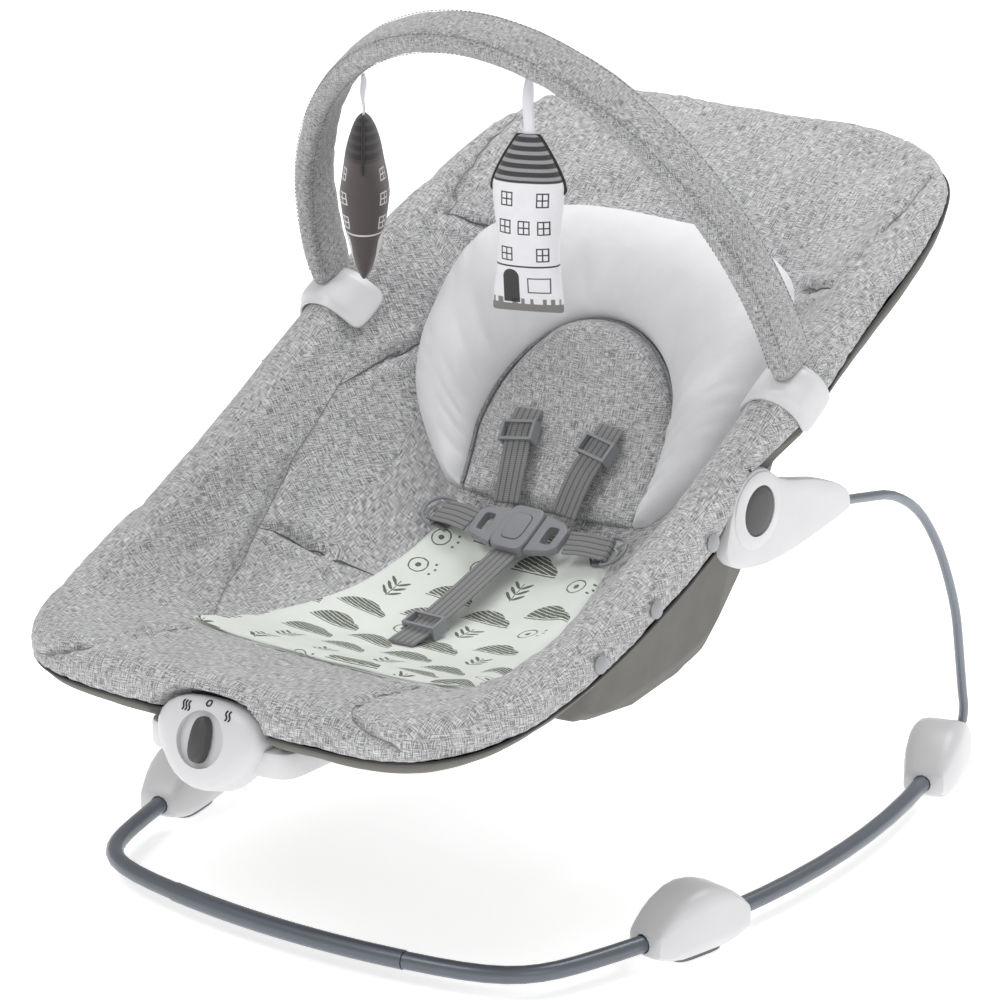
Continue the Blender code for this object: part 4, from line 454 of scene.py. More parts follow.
def loft_piece(name, rings, body, material=None, uv=None, closed=False):
    """A closed piece through rings of points. uv gives each point's place on the cloth, in metres."""
    count = len(rings[0])
    points = [p for ring in rings for p in ring]
    faces, uvs = [], []
    spans = len(rings) if closed else len(rings) - 1
    around = [running_lengths([*ring, ring[0]]) for ring in rings]
    centres = [sum(ring, Vector()) / count for ring in rings]
    down = running_lengths([*centres, centres[0]])
    for i in range(spans):
        n = (i + 1) % len(rings)
        for j in range(count):
            k = (j + 1) % count
            faces.append((i * count + j, i * count + k, n * count + k, n * count + j))
            if uv:
                uvs.append((uv[i][j], uv[i][k], uv[n][k], uv[n][j]))
            else:
                uvs.append(((around[i][j], down[i]), (around[i][j + 1], down[i]),
                            (around[n][j + 1], down[i + 1]), (around[n][j], down[i + 1])))
    if not closed:
        last = (len(rings) - 1) * count
        faces.append(tuple(reversed(range(count))))
        faces.append(tuple(last + j for j in range(count)))
        uvs += [((0.0, 0.0),) * count] * 2
    obj = add_piece(name, points, faces, body, uvs, material)
    face_out(obj)
    return obj


def turned_in(work):
    """Whether a closed mesh faces inward."""
    return work.calc_volume(signed=True) < 0


def turned_up(work):
    """Whether the lowest face of an open sheet, which should look down, looks up."""
    return min(work.faces, key=lambda face: face.calc_center_median().z).normal.z > 0


def face_out(obj, wrong=turned_in, weld=False, slivers=False):
    """Turn every face outward. Where asked, points that meet are joined and slivers taken out first."""
    work = bmesh.new()
    work.from_mesh(obj.data)
    if weld:
        bmesh.ops.remove_doubles(work, verts=work.verts, dist=WELD_GAP)
    if slivers:
        bmesh.ops.dissolve_degenerate(work, edges=work.edges, dist=WELD_GAP / 2)
    bmesh.ops.recalc_face_normals(work, faces=work.faces)
    if wrong(work):
        bmesh.ops.reverse_faces(work, faces=work.faces)
    work.to_mesh(obj.data)
    work.free()
    obj.data.polygons.foreach_set("use_smooth", [True] * len(obj.data.polygons))


def mirrored(points, faces):
    """The right half's points and faces with their mirror image, which meet in the middle."""
    for point in points:
        if abs(point.x) < ON_MIDDLE:
            point.x = 0
    half = len(points)
    return (points + [on_side(point, -1) for point in points],
            faces + [tuple(half + v for v in reversed(face)) for face in faces])


def grid_faces(rows, count, first=0):
    """The faces between rows of this many points, numbered from first."""
    return [(a, a + 1, a + count + 1, a + count)
            for r in range(rows - 1) for a in range(first + r * count, first + (r + 1) * count - 1)]


def surface_tree(obj, least_up=-2.0):
    """A piece's triangles that face up at least so much, to be searched from the seat's datum."""
    mesh = obj.data
    mesh.calc_loop_triangles()
    triangles = [tuple(t.vertices) for t in mesh.loop_triangles if t.normal.z > least_up]
    return BVHTree.FromPolygons(off_datum(v.co for v in mesh.vertices), triangles)


def mesh_arrays(mesh):
    points = np.empty(len(mesh.vertices) * 3, np.float64)
    mesh.vertices.foreach_get("co", points)
    normals = np.empty(len(mesh.vertices) * 3, np.float64)
    mesh.vertices.foreach_get("normal", normals)
    return points.reshape(-1, 3), normals.reshape(-1, 3)


def push_out(obj, amounts):
    """Move each vertex along its normal by its own amount."""
    points, normals = mesh_arrays(obj.data)
    points += normals * np.asarray(amounts)[:, None]
    obj.data.vertices.foreach_set("co", points.ravel())
    obj.data.update()


def press_in(obj):
    """Press a cover flat behind the hubs and the vibration unit."""
    points, _ = mesh_arrays(obj.data)
    for vert, p in zip(obj.data.vertices, clear_unit(hold_in(off_datum(points)))):
        vert.co = (p.x, p.y + DATUM_Y, p.z)
    obj.data.update()


def subdivide(obj, levels=1):
    modifier = obj.modifiers.new("Smooth", "SUBSURF")
    modifier.levels = modifier.render_levels = levels
    return obj


def applied(obj):
    """Make what the modifiers give the piece's own mesh."""
    shaped = obj.evaluated_get(bpy.context.evaluated_depsgraph_get())
    mesh = bpy.data.meshes.new_from_object(shaped)
    obj.modifiers.clear()
    obj.data = mesh
    return obj


def sweep(path, sides, section):
    """Rings of a section carried along a path. sides gives the direction across it at each point."""
    rings = []
    for i, point in enumerate(path):
        along = (path[min(i + 1, len(path) - 1)] - path[max(i - 1, 0)]).normalized()
        across = Vector(sides[i])
        across = (across - along * across.dot(along)).normalized()
        out = across.cross(along)
        rings.append([point + across * u + out * v for u, v in section])
    return rings


def tube_rings(path, radius, count=10, closed=False):
    """Rings of a round cord along a path."""
    rings = []
    side = None
    last = len(path) - 1
    for i, point in enumerate(path):
        before = path[i - 1] if i or closed else path[0]
        after = path[(i + 1) % len(path)] if i < last or closed else path[last]
        along = (after - before).normalized()
        if side is None:
            side = along.cross(Z_AXIS if abs(along.z) < 0.9 else X_AXIS)
        side = (side - along * side.dot(along)).normalized()
        up = side.cross(along)
        rings.append([point + side * radius * cos(a) + up * radius * sin(a)
                      for a in (2 * pi * k / count for k in range(count))])
    return rings


def stitches(name, path, outs, body, material, length=0.0028, gap=0.0016, radius=0.00038):
    """A row of sewn stitches along a path, each a small raised thread half sunk in the cloth."""
    count = max(int(running_lengths(path)[-1] / (length + gap)), 2)
    line = evenly(path, count * 8 + 1)
    points, faces = [], []
    for n in range(count):
        first, last = line[n * 8], line[min(n * 8 + int(8 * length / (length + gap)), len(line) - 1)]
        along = (last - first).normalized()
        share = (n + 0.5) / count
        out = outs[min(int(share * len(outs)), len(outs) - 1)]
        side = along.cross(out).normalized()
        base = len(points)
        for t, size in ((0.0, 0.35), (0.25, 1.0), (0.75, 1.0), (1.0, 0.35)):
            middle = first.lerp(last, t) + out * radius * (0.9 * size - 0.2)
            points += [middle + side * radius * 1.25 * size * cos(a) + out * radius * size * sin(a)
                       for a in (0, pi / 3, 2 * pi / 3, pi, 4 * pi / 3, 5 * pi / 3)]
        for r in range(3):
            for k in range(6):
                m = (k + 1) % 6
                ring = base + r * 6
                faces.append((ring + k, ring + m, ring + 6 + m, ring + 6 + k))
        faces.append(tuple(base + k for k in reversed(range(6))))
        faces.append(tuple(base + 18 + k for k in range(6)))
    return add_piece(name, points, faces, body, None, material)


# Shader building

def feed(tree, socket, value):
    if isinstance(value, Flow):
        tree.links.new(value.socket, socket)
    elif isinstance(value, (tuple, list)) and len(value) == 3 and socket.type == "RGBA":
        socket.default_value = (*value, 1.0)
    else:
        socket.default_value = value


class Flow:
    """A value that flows through a material's nodes, with arithmetic."""

    def __init__(self, tree, socket):
        self.tree = tree
        self.socket = socket

    def math(self, kind, *others):
        node = self.tree.nodes.new("ShaderNodeMath")
        node.operation = kind
        for socket, value in zip(node.inputs, (self, *others)):
            feed(self.tree, socket, value)
        return Flow(self.tree, node.outputs[0])

    def flipped(self, kind, other):
        node = self.tree.nodes.new("ShaderNodeMath")
        node.operation = kind
        feed(self.tree, node.inputs[0], other)
        feed(self.tree, node.inputs[1], self)
        return Flow(self.tree, node.outputs[0])

    def __add__(self, other):
        return self.math("ADD", other)

    def __radd__(self, other):
        return self.math("ADD", other)

    def __sub__(self, other):
        return self.math("SUBTRACT", other)

    def __rsub__(self, other):
        return self.flipped("SUBTRACT", other)

    def __mul__(self, other):
        return self.math("MULTIPLY", other)

    def __rmul__(self, other):
        return self.math("MULTIPLY", other)

    def __truediv__(self, other):
        return self.math("DIVIDE", other)

    def __rtruediv__(self, other):
        return self.flipped("DIVIDE", other)

    def above(self, low, high):
        """0 below low and 1 above high, eased between."""
        node = self.tree.nodes.new("ShaderNodeMapRange")
        node.interpolation_type = "SMOOTHSTEP"
        for name, value in (("Value", self), ("From Min", low), ("From Max", high)):
            feed(self.tree, node.inputs[name], value)
        return Flow(self.tree, node.outputs["Result"])

    def below(self, low, high):
        return 1.0 - self.above(low, high)

    def within(self, low, high):
        """1 nearer to zero than low and 0 beyond high, eased between."""
        return self.math("ABSOLUTE").below(low, high)

    def capped(self):
        return self.math("MINIMUM", 1.0)


def srgb(colour, shade=1.0):
    """A colour given as 0-255 screen values, made darker or lighter by the shade, then linear."""
    values = [min(c * shade, 255) / 255 for c in colour]
    return tuple(v / 12.92 if v <= 0.04045 else ((v + 0.055) / 1.055) ** 2.4 for v in values)


def weave(a, b, pitch):
    """Threads that cross: the crests of a plain weave."""
    return (a * pitch).math("SINE") * (b * pitch).math("SINE")


class Look:
    """A material and its nodes."""

    def __init__(self, name, **uniform):
        self.material = bpy.data.materials.new(name)
        self.material.use_nodes = True
        self.tree = self.material.node_tree
        self.surface = self.tree.nodes["Principled BSDF"]
        for key, value in uniform.items():
            self.set(key.replace("_", " ").title().replace("Ior", "IOR"), value)

    def node(self, kind, settings=None, inputs=None, output=0):
        node = self.tree.nodes.new("ShaderNode" + kind)
        for key, value in (settings or {}).items():
            setattr(node, key, value)
        for key, value in (inputs or {}).items():
            feed(self.tree, node.inputs[key], value)
        return Flow(self.tree, node.outputs[output])

    def set(self, name, value):
        feed(self.tree, self.surface.inputs[name], value)

    def axes(self, flow):
        """The three parts of a vector."""
        node = self.tree.nodes.new("ShaderNodeSeparateXYZ")
        feed(self.tree, node.inputs[0], flow)
        return [Flow(self.tree, out) for out in node.outputs]

    def vector(self, x, y, z=0.0):
        return self.node("CombineXYZ", None, {"X": x, "Y": y, "Z": z})

    def spot(self):
        """The place in metres, at rest, as three values."""
        return self.axes(self.node("TexCoord", None, None, "Object"))

    def cloth(self):
        """The place on the cloth in metres, across and along it."""
        return self.axes(self.node("UVMap", {"uv_map": "Cloth"}))[:2]

    def flat(self):
        """The place in metres on the plane that the surface faces most, where a weave doesn't stretch."""
        x, y, z = self.spot()
        facing = self.axes(self.node("TexCoord", None, None, "Normal"))
        sizes = [part.math("ABSOLUTE") for part in facing]
        side = sizes[0].math("GREATER_THAN", sizes[1].math("MAXIMUM", sizes[2]))
        end = sizes[1].math("GREATER_THAN", sizes[0].math("MAXIMUM", sizes[2]))
        return x + side * (y - x), y + (side + end).capped() * (z - y)

    def noise(self, x, y, z=0.0, detail=2.0, roughness=0.5):
        inputs = {"Vector": self.vector(x, y, z), "Scale": 1.0, "Detail": detail, "Roughness": roughness}
        return self.node("TexNoise", None, inputs)

    def mix(self, factor, a, b):
        settings = {"data_type": "RGBA", "clamp_factor": True}
        return self.node("Mix", settings, {"Factor": factor, 6: a, 7: b}, 2)

    def bump(self, height, depth, strength=1.0):
        inputs = {"Height": height, "Distance": depth, "Strength": strength}
        self.set("Normal", self.node("Bump", None, inputs))


# The seat's shape

class Station:
    """A place down the right side of the rim: the roll's middle, the way along, outward and up."""

    def __init__(self, middle, along, share):
        self.middle = middle
        self.along = along
        self.out = along.cross(Z_AXIS).normalized()
        self.up = self.out.cross(along)
        self.share = share

    def spoke(self, angle):
        return self.out * cos(radians(angle)) + self.up * sin(radians(angle))

    def round(self, angle, radius):
        return self.middle + self.spoke(angle) * radius


def rim_stations(count):
    """Stations down the right side from the foot end to the head end, closer together in the corners."""
    middle = (RIM_ENDS_Y[0] + RIM_ENDS_Y[1]) / 2
    half = (RIM_ENDS_Y[1] - RIM_ENDS_Y[0]) / 2
    power = 2 / RIM_SQUARENESS
    line = []
    for angle in between(0, pi, 1601):
        y = middle - half * signed_power(cos(angle), power)
        narrowing = RIM_NARROWING[0] if y < 0 else RIM_NARROWING[1]
        x = (RIM_HALF_WIDTH - narrowing * y * y) * max(sin(angle), 0) ** power
        line.append(Vector((x, y, smooth_value(RIM_SIDE_PROFILE, y))))
    line[-1].x = 0
    lengths, weights = running_lengths(line), [0.0]
    for i in range(1, len(line)):
        step = line[i] - line[i - 1]
        before = line[i - 1] - line[i - 2] if i > 1 else step
        weights.append(weights[-1] + step.length + RIM_CORNER_WEIGHT * before.angle(step, 0))
    out = []
    i = 0
    for n in range(count + 1):
        want = weights[-1] * n / count
        while i < len(line) - 1 and weights[i] < want:
            i += 1
        if n == 0:
            along = X_AXIS.copy()
        elif n == count:
            along = -X_AXIS
            i = len(line) - 1
        else:
            k = min(max(i, 1), len(line) - 2)
            along = (line[k + 1] - line[k - 1]).normalized()
        out.append(Station(line[i].copy(), along, lengths[i] / lengths[-1]))
    for station in out[::count]:
        station.middle.x = 0
    return out


def bowl_z(y):
    return smooth_value(BOWL_PROFILE, y)


def hub_reach(point):
    """How far a point lies from the hub's axis."""
    return sqrt((point.y - HUB[0]) ** 2 + (point.z - HUB[1]) ** 2)


def edge_angle(station):
    """Where the marl cloth ends round the roll: at the piping, or higher where the hub needs room."""
    angle = smooth_value(PIPING_ANGLES, station.middle.y)
    while angle < 60:
        p = station.round(angle, ROLL_RADIUS)
        if hub_reach(p) > HUB_ROOM + HUB_CUT[0] or p.x < HUB_INNER_X - HUB_CUT[1]:
            break
        angle += 1.0
    return angle


def bowl_row(station, shares):
    """The cover's top from the roll's inner side down to the middle of the seat."""
    inner = station.round(smooth_value(ROLL_END_ANGLES, station.middle.y), ROLL_RADIUS)
    y = part_way(SPINE_ENDS_Y, station.share)
    rise = inner.z - bowl_z(inner.y)
    row = []
    for t in shares:
        at = inner.y + (y - inner.y) * t
        row.append(Vector((inner.x * (1 - t), at, bowl_z(at) + rise * (1 - t) ** BOWL_STEEPNESS)))
    return row


def seat_dent(point):
    """How near a point comes to the room that the hub needs: its ring's disc and its arm's tail."""
    tail = FAR
    share = (point.y - HUB[0]) / ARM_ROOM_END[0]
    if 0 < share < ARM_ROOM_LIMIT:
        middle = HUB[1] - ARM_ROOM_DROP + ARM_ROOM_END[1] * share * 0.4
        half = ARM_ROOM_HALVES[0] - ARM_ROOM_HALVES[1] * share
        tail = abs(point.z - middle) - half + HUB_ROOM
    return min(hub_reach(point), tail)


def hold_in(points):
    """Press the covers flat behind the hubs."""
    for p in points:
        side = 1 if p.x > 0 else -1
        into = HUB_ROOM + HUB_EASE - seat_dent(p)
        if abs(p.x) > HUB_INNER_X and into > 0:
            p.x += (side * HUB_INNER_X - p.x) * smoothstep(into / HUB_EASE)
    return points


def unit_place():
    tilt = radians(UNIT_TILT)
    return frame_at(UNIT_CENTRE, X_AXIS, (0, -cos(tilt), sin(tilt)))


def unit_bulge(angle):
    return 1 + UNIT_CORNERS * sin(3 * angle)


def clear_unit(points):
    """Press the covers in behind the vibration unit."""
    place = unit_place()
    back = place.inverted()
    for p in points:
        q = back @ p
        if q.z > UNIT_ROOM_BEHIND:
            across, upward = q.x / (UNIT_SIZE[0] / 2), q.y / (UNIT_SIZE[1] / 2)
            reach = sqrt(across ** 2 + upward ** 2) / unit_bulge(atan2(upward, across))
            share = smoothstep((UNIT_ROOM[0] - reach) / UNIT_ROOM[1])
            low = -UNIT_SIZE[2] - UNIT_GAP
            if share and q.z > low:
                q.z += (low - q.z) * share
                p[:] = place @ q
    return points


def cover_rows():
    """The padded cover's right half as rows of points from rim to middle: its top, and its inside."""
    shares = [(k / BOWL_ROWS) ** BOWL_SPREAD for k in range(1, BOWL_ROWS + 1)]
    top = []
    for k in range(ROLL_ROWS + 1):
        # The edge tucks under to the seam
        radius = ROLL_RADIUS - EDGE_TUCK * (1 - min(k / 2, 1)) ** 2
        row = []
        for station, start in zip(LINE, ANGLES):
            end = smooth_value(ROLL_END_ANGLES, station.middle.y)
            row.append(station.round(start + (end - start) * k / ROLL_ROWS, radius))
        top.append(row)
    bowl = [bowl_row(station, shares) for station in LINE]
    top += [[row[j] for row in bowl] for j in range(BOWL_ROWS)]
    low = []
    for k in range(INSIDE_ROWS + 1):
        low.append([station.middle + RIM_TUBE_OFFSET * 0.5
                    + station.spoke(start + (INSIDE_ANGLE - start) * k / INSIDE_ROWS) * INSIDE_RADIUS
                    for station, start in zip(LINE, ANGLES)])
    for j in (BOWL_ROWS // 4, BOWL_ROWS // 2, BOWL_ROWS - 1):
        low.append([row[j] - Z_AXIS * INSIDE_DEPTH for row in bowl])
    return top, low


def sewn_relief(datum, right):
    """How far the padded cover stands out or draws in at each point: seams, folds and soft creases."""
    amount = np.zeros(len(datum))
    for n, line in enumerate(SEAMS):
        gap, along = near_line(right, smooth_path(line, 6))
        wave = 0.5 + 0.5 * np.sin(along * (320 + 40 * n) + 3 * np.sign(datum[:, 0]))
        amount += sewn_profile(gap, SEAM_RELIEF) - wave * sewn_profile(gap, SEAM_PUCKER)
    for line, strength in zip(FOLDS, FOLD_STRENGTHS):
        gap, along = near_line(right, smooth_path(line, 6))
        fade = np.sin(np.clip(along / FOLD_LENGTH, 0, 1) * pi) * strength
        amount += fade * sewn_profile(gap, FOLD_RELIEF)
    for i, p in enumerate(datum):
        soft = bumpy(p, 0.085, 1.3) * 0.0026 + bumpy(p, 0.042, 4.1) * 0.0014
        crease = 1 - abs(bumpy((p[0], p[1] * 0.45, p[2] * 0.45), 0.030, 7.7))
        small = bumpy(p, 0.016, 2.2) * 0.0006
        amount[i] += soft + small - 0.0016 * max(crease - 0.82, 0) / 0.18
    return amount * (1 - 0.88 * covered(right))


def covered(right):
    """1 where the panel, back pad or head cushion lies on the cover, fading to 0 at their edges."""
    x, y = right[:, 0], right[:, 1]

    def inside(gap, fade=COVERED_FADE):
        return np.clip(gap / fade, 0, 1)

    panel = inside(panel_half_width(y) - x) * inside(y - PANEL_ENDS_Y[0]) * inside(CROOK_Y - y)
    pads = inside(PADS_HALF_WIDTH - x, 0.014) * inside(y - CROOK_Y + COVERED_FADE)
    return np.maximum(panel, pads * inside(PADS_END_Y - y))


LINE = rim_stations(STATIONS)
ANGLES = eased([edge_angle(station) for station in LINE], 2)


def make_cover(material):
    """The padded marl cover, over the roll and down into the seat, gathered at its edge and studs."""
    top, low = cover_rows()
    count, base = len(LINE), len(top) * len(LINE)
    faces = grid_faces(len(top), count) + grid_faces(len(low), count, base)
    faces += [(i, i + 1, base + i + 1, base + i) for i in range(count - 1)]
    points, faces = mirrored([p for row in top + low for p in row], faces)
    cover = add_piece("cover_marl", points, faces, "seat", None, material)
    face_out(cover, weld=True, slivers=True)
    applied(subdivide(cover))
    seat = Seat(cover)
    points, _ = mesh_arrays(cover.data)
    datum = points - np.array((0, DATUM_Y, 0))
    right = datum.copy()
    right[:, 0] = np.abs(right[:, 0])
    amounts = sewn_relief(datum, right)
    edge = [station.round(angle, ROLL_RADIUS) for station, angle in zip(LINE, ANGLES)]
    gap, along = near_line(right, edge)
    uneven = 2.5 * np.sin(along * 61 + np.sign(datum[:, 0]))
    gathers = 0.5 + 0.5 * np.sin(along * 2 * pi / GATHER_PITCH + uneven)
    amounts -= gathers * sewn_profile(gap, GATHER_RELIEF)
    for name in NODES:
        if "stud" in name:
            low, high = (np.array(corner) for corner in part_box(name))
            away = np.linalg.norm(points - (low + high) / 2, axis=1)
            amounts += (-STUD_DIMPLE[0] - amounts) * np.exp(-(away / STUD_DIMPLE[1]) ** 4)
    hub = np.linalg.norm(right - np.array((HUB_INNER_X, *HUB)), axis=1)
    amounts *= np.clip((hub - HUB_SMOOTH[0]) / HUB_SMOOTH[1], 0, 1)
    amounts *= np.clip(gap / EDGE_STILL, 0, 1)
    push_out(cover, amounts)
    press_in(cover)
    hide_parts("seat_cover")
    return cover, seat


def make_seam_threads(cover, materials):
    """The sewn-in cord at the bottom of each seam of the cover, and in each fold a dark tapered cord that
    is painted shadow.
    """
    tree = surface_tree(cover)
    for n, line in enumerate((*SEAMS, *FOLDS)):
        crease = n >= len(SEAMS)
        for side in (1, -1):
            guide = evenly([on_side(p, side) for p in smooth_path(line, 8)], SEAM_POINTS)
            outs = [out.normalized() for out in eased([tree.find_nearest(p)[1] for p in guide], 12)]
            hits = [tree.ray_cast(p + out * 0.02, -out)[0] or p for p, out in zip(guide, outs)]
            lifts = eased([(hit - p).dot(out) for p, hit, out in zip(guide, hits, outs)], 4)
            path = eased([p + out * (lift + SEAM_LIFT) for p, out, lift in zip(guide, outs, lifts)], 3)
            rings = tube_rings(path, SEAM_RADIUS, 6)
            # Along a fold the cord is painted shadow of the fold, thick in its middle and tapering to its
            # ends
            if crease:
                rings = [[middle.lerp(p, 0.3 + 1.7 * sin(pi * i / (len(path) - 1))) for p in ring]
                         for i, (middle, ring) in enumerate(zip(path, rings))]
            # The fold pieces share the seam cord name, but they are painted shadow
            name = f"seam_cord_{n}_{side_name(side)}"
            loft_piece(name, rings, "seat", materials[crease])


def pouch_floor(y):
    beyond = max(abs(y - POUCH_Y) - POUCH_FLAT, 0.0)
    return POUCH_FLOOR_Z + POUCH_RISE * beyond * beyond


def make_under_cover(material):
    """The plain cloth below: it wraps the roll from the piping and hangs in a pouch under the seat."""
    rows = []
    for k in range(WRAP_ROWS + 1):
        row = []
        for station, start in zip(LINE, ANGLES):
            begin = start - 1.0
            angle = begin + (UNDER_END_ANGLE - begin) * k / WRAP_ROWS
            row.append(station.round(angle, ROLL_RADIUS - 0.0006))
        rows.append(row)
    tops = [bowl_row(station, UNDER_SHARES) for station in LINE]
    for j, share in enumerate(UNDER_SHARES):
        gone = smoothstep((share - POUCH_START) / POUCH_SHOULDER)
        row = [top[j] - Z_AXIS * (COVER_THICKNESS + UNDER_CLEARANCE) for top in tops]
        for p in row:
            p.z += min(pouch_floor(p.y) - p.z, 0) * gone
            p.x *= 1 - POUCH_TAKE_IN * gone
        rows.append(row)
    points, faces = mirrored([p for row in rows for p in row], grid_faces(len(rows), len(LINE)))
    under = add_piece("under_cloth", points, faces, "seat", None, material)
    face_out(under, turned_up, weld=True)
    points, _ = mesh_arrays(under.data)
    amounts = []
    for p in points:
        slack = smoothstep((0.30 - p[2]) / 0.10) if p[1] > -0.2 else 0.15
        fold = 1 - abs(bumpy((p[0] * 0.6, p[1] - p[2] * 0.5, p[2] * 0.35), 0.050, 3.3))
        amounts.append(slack * (bumpy(p, 0.07, 5.5) * 0.0042 - 0.0050 * max(fold - 0.70, 0) / 0.30)
                       + bumpy(p, 0.02, 8.0) * 0.0003)
    push_out(under, amounts)
    press_in(under)
    thick = under.modifiers.new("Cloth", "SOLIDIFY")
    thick.thickness, thick.offset = UNDER_THICKNESS, -1.0
    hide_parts("under_cover")


class Seat:
    """Finds the cover's top, so that what lies on it follows its real surface."""

    def __init__(self, cover):
        self.tree = surface_tree(cover, 0.02)

    def on(self, x, y):
        """The place on the cover at (x, y), and the way up from it."""
        slope = (bowl_z(y + 0.004) - bowl_z(y - 0.004)) / 0.008
        up = Vector((0, -slope, 1)).normalized()
        start = Vector((x, y, bowl_z(y))) + up * 0.16
        hit, normal, _, _ = self.tree.ray_cast(start, -up)
        if hit is None:
            hit, normal = Vector((x, y, bowl_z(y))), up
        if normal.dot(up) < 0:
            normal = -normal
        return hit, (normal + up * 1.2).normalized()

    def up_back(self, x, length):
        """The place on the cover at x and this far up the back from the crook."""
        y, gone, step = CROOK_Y, 0.0, 0.002
        sign = 1 if length >= 0 else -1
        while gone < abs(length):
            gone += sqrt(step * step + (bowl_z(y + sign * step) - bowl_z(y)) ** 2)
            y += sign * step
        return self.on(x, y - sign * (gone - abs(length)) * 0.6)


# Resting on the seat

def panel_half_width(y):
    share = np.clip((y - PANEL_ENDS_Y[0]) / (PANEL_ENDS_Y[1] - PANEL_ENDS_Y[0]), 0, 1)
    return part_way(PANEL_HALF_WIDTHS, share ** 0.8)


def make_panel(seat, material):
    """The printed panel, quilted thin, its front edge cut in a shallow wave."""
    rings, places, middles = [], [], []
    for share in between(0, 1, PANEL_ROWS):
        low, high, widths = [], [], []
        for across in between(-1, 1, PANEL_COLUMNS):
            side = abs(across)
            front = PANEL_ENDS_Y[0] + PANEL_WAVE * (1 - cos(side * 2.5 * pi)) / 2 * (1 - share)
            y = front + (PANEL_ENDS_Y[1] - front) * share
            x = panel_half_width(y) * across
            edge = min(share * 0.28, (1 - share) * 0.28, (1 - side) * 0.12)
            rim = sqrt(min(max(edge / 0.010, 0.0), 1))
            soft = 1 + 0.30 * bumpy((x, y, 0), 0.036, 6.0) + 0.22 * bumpy((x * 0.4, y, 0), 0.020, 9.0)
            at, up = seat.on(x, y)
            low.append(at - up * 0.0022)
            high.append(at + up * (-0.0006 + (PANEL_THICKNESS + 0.0016) * rim * soft))
            widths.append(x)
        rings.append(low + high[::-1])
        places.append(widths + widths[::-1])
        middles.append(high[PANEL_COLUMNS // 2])
    uvs = [[(x, down) for x in widths] for widths, down in zip(places, running_lengths(middles))]
    panel = subdivide(loft_piece("panel_print", rings, "seat", material, uvs))
    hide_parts("seat_panel")


def horseshoe(share, turn, half_widths, lengths, curve, taper):
    """An outline from its top middle round its shoulder, at share turn, to its lower corner."""
    if share < turn:
        angle = share / turn * pi / 2
        return half_widths[0] * sin(angle) ** curve, part_way(lengths, max(cos(angle), 0) ** curve)
    t = (share - turn) / (1 - turn)
    return part_way(half_widths, t ** taper), lengths[0] * (1 - t)


def pad_edge(share):
    """The back pad's outline, as (x, length up the back)."""
    return horseshoe(share, 0.6, (PAD_HALF_WIDTH, PAD_LOW_HALF_WIDTH), (PAD_SHOULDER, PAD_TOP), 1, 1)


def head_edge(share):
    """The head cushion's outer outline, in the same way."""
    return horseshoe(share, 0.55, (HEAD_HALF_WIDTH, HEAD_TIP_HALF_WIDTH), (HEAD_SHOULDER, HEAD_TOP),
                     HEAD_CURVE, 2.3)


def pad_thickness(length):
    return part_way(PAD_THICKNESS, max(length / PAD_TOP, 0) ** 1.6)


def make_back_pad(seat, material):
    """The grey pad behind the child's back: rounded top, drawn in to the crook of the seat."""
    rings = []
    lengths = between(0.001, PAD_SHOULDER, 16)
    lengths += [PAD_SHOULDER + (PAD_TOP - PAD_SHOULDER) * sin(a) for a in between(0.05, 1.50, 30)]
    for length in lengths:
        if length <= PAD_SHOULDER:
            half = part_way((PAD_LOW_HALF_WIDTH, PAD_HALF_WIDTH), length / PAD_SHOULDER)
        else:
            half = PAD_HALF_WIDTH * sqrt(1 - ((length - PAD_SHOULDER) / (PAD_TOP - PAD_SHOULDER)) ** 2)
        top = min((PAD_TOP - length) / 0.030, 1)
        ends = min(sqrt(1 - (1 - top) ** 2) + 0.12, length / 0.012 + 0.35, 1.0)
        low, high = [], []
        for angle in between(-pi / 2, pi / 2, PAD_COLUMNS):
            across = sin(angle)
            crown = sqrt(max(1 - abs(across) ** 3, 0)) * ends
            at, up = seat.up_back(half * across, length)
            soft = 1 + 0.05 * bumpy(at, 0.05, 2.0) + 0.03 * bumpy(at, 0.02, 5.0)
            low.append(at - up * 0.0015)
            high.append(at + up * (0.0009 + (pad_thickness(length) + 0.0008) * max(crown, 0.10) * soft))
        rings.append(low + high[::-1])
    pad = subdivide(loft_piece("back_pad_marl", rings, "seat", material))
    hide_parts("back_pad")


def make_head_cushion(seat, material):
    """The white horseshoe round the head: a fat padded band with soft puckers along its inner seam."""
    rings = []
    for share in between(-0.985, 0.985, HEAD_RINGS):
        side = 1 if share >= 0 else -1
        s = abs(share)
        inner, outer = Vector(pad_edge(s)), Vector(head_edge(s))
        inner += (outer - inner).normalized() * 0.0012
        tip = min((1 - s) / 0.05, 1)
        fat = (HEAD_THICKNESS + 0.0015) * min(0.26 + (1 - s) * 1.6, 1)
        fat *= sqrt(max(1 - (1 - tip) ** 2, 0.02))
        low, high = [], []
        for angle in between(0, pi, HEAD_COLUMNS):
            t = 0.5 - 0.5 * cos(angle)
            x, length = inner.lerp(outer, t)
            crown = max(0.06, (4 * t * (1 - t)) ** 0.42)
            at, up = seat.up_back(side * x, length)
            ray = share * 21 + 0.8 * sin(share * 9 + side)
            pucker = (0.5 + 0.5 * cos(ray * pi)) ** 3
            draw = 0.0046 * pucker * max(1 - t / 0.55, 0) * min(t / 0.10, 1)
            draw += 0.0016 * (0.5 + 0.5 * cos(ray * pi * 1.3 + 1)) ** 3 * max((t - 0.60) / 0.40, 0)
            soft = 0.0022 * bumpy(at, 0.045, 3.0) + 0.0008 * bumpy(at, 0.018, 6.0)
            low.append(at - up * 0.0015)
            rise = max(fat * crown + (soft - draw) * min(crown * 1.5, 1), 0.0012)
            high.append(at + up * (0.0007 + rise))
        rings.append(low + high[::-1])
    cushion = subdivide(loft_piece("head_cushion_white", rings, "seat", material))
    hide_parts("head_cushion")


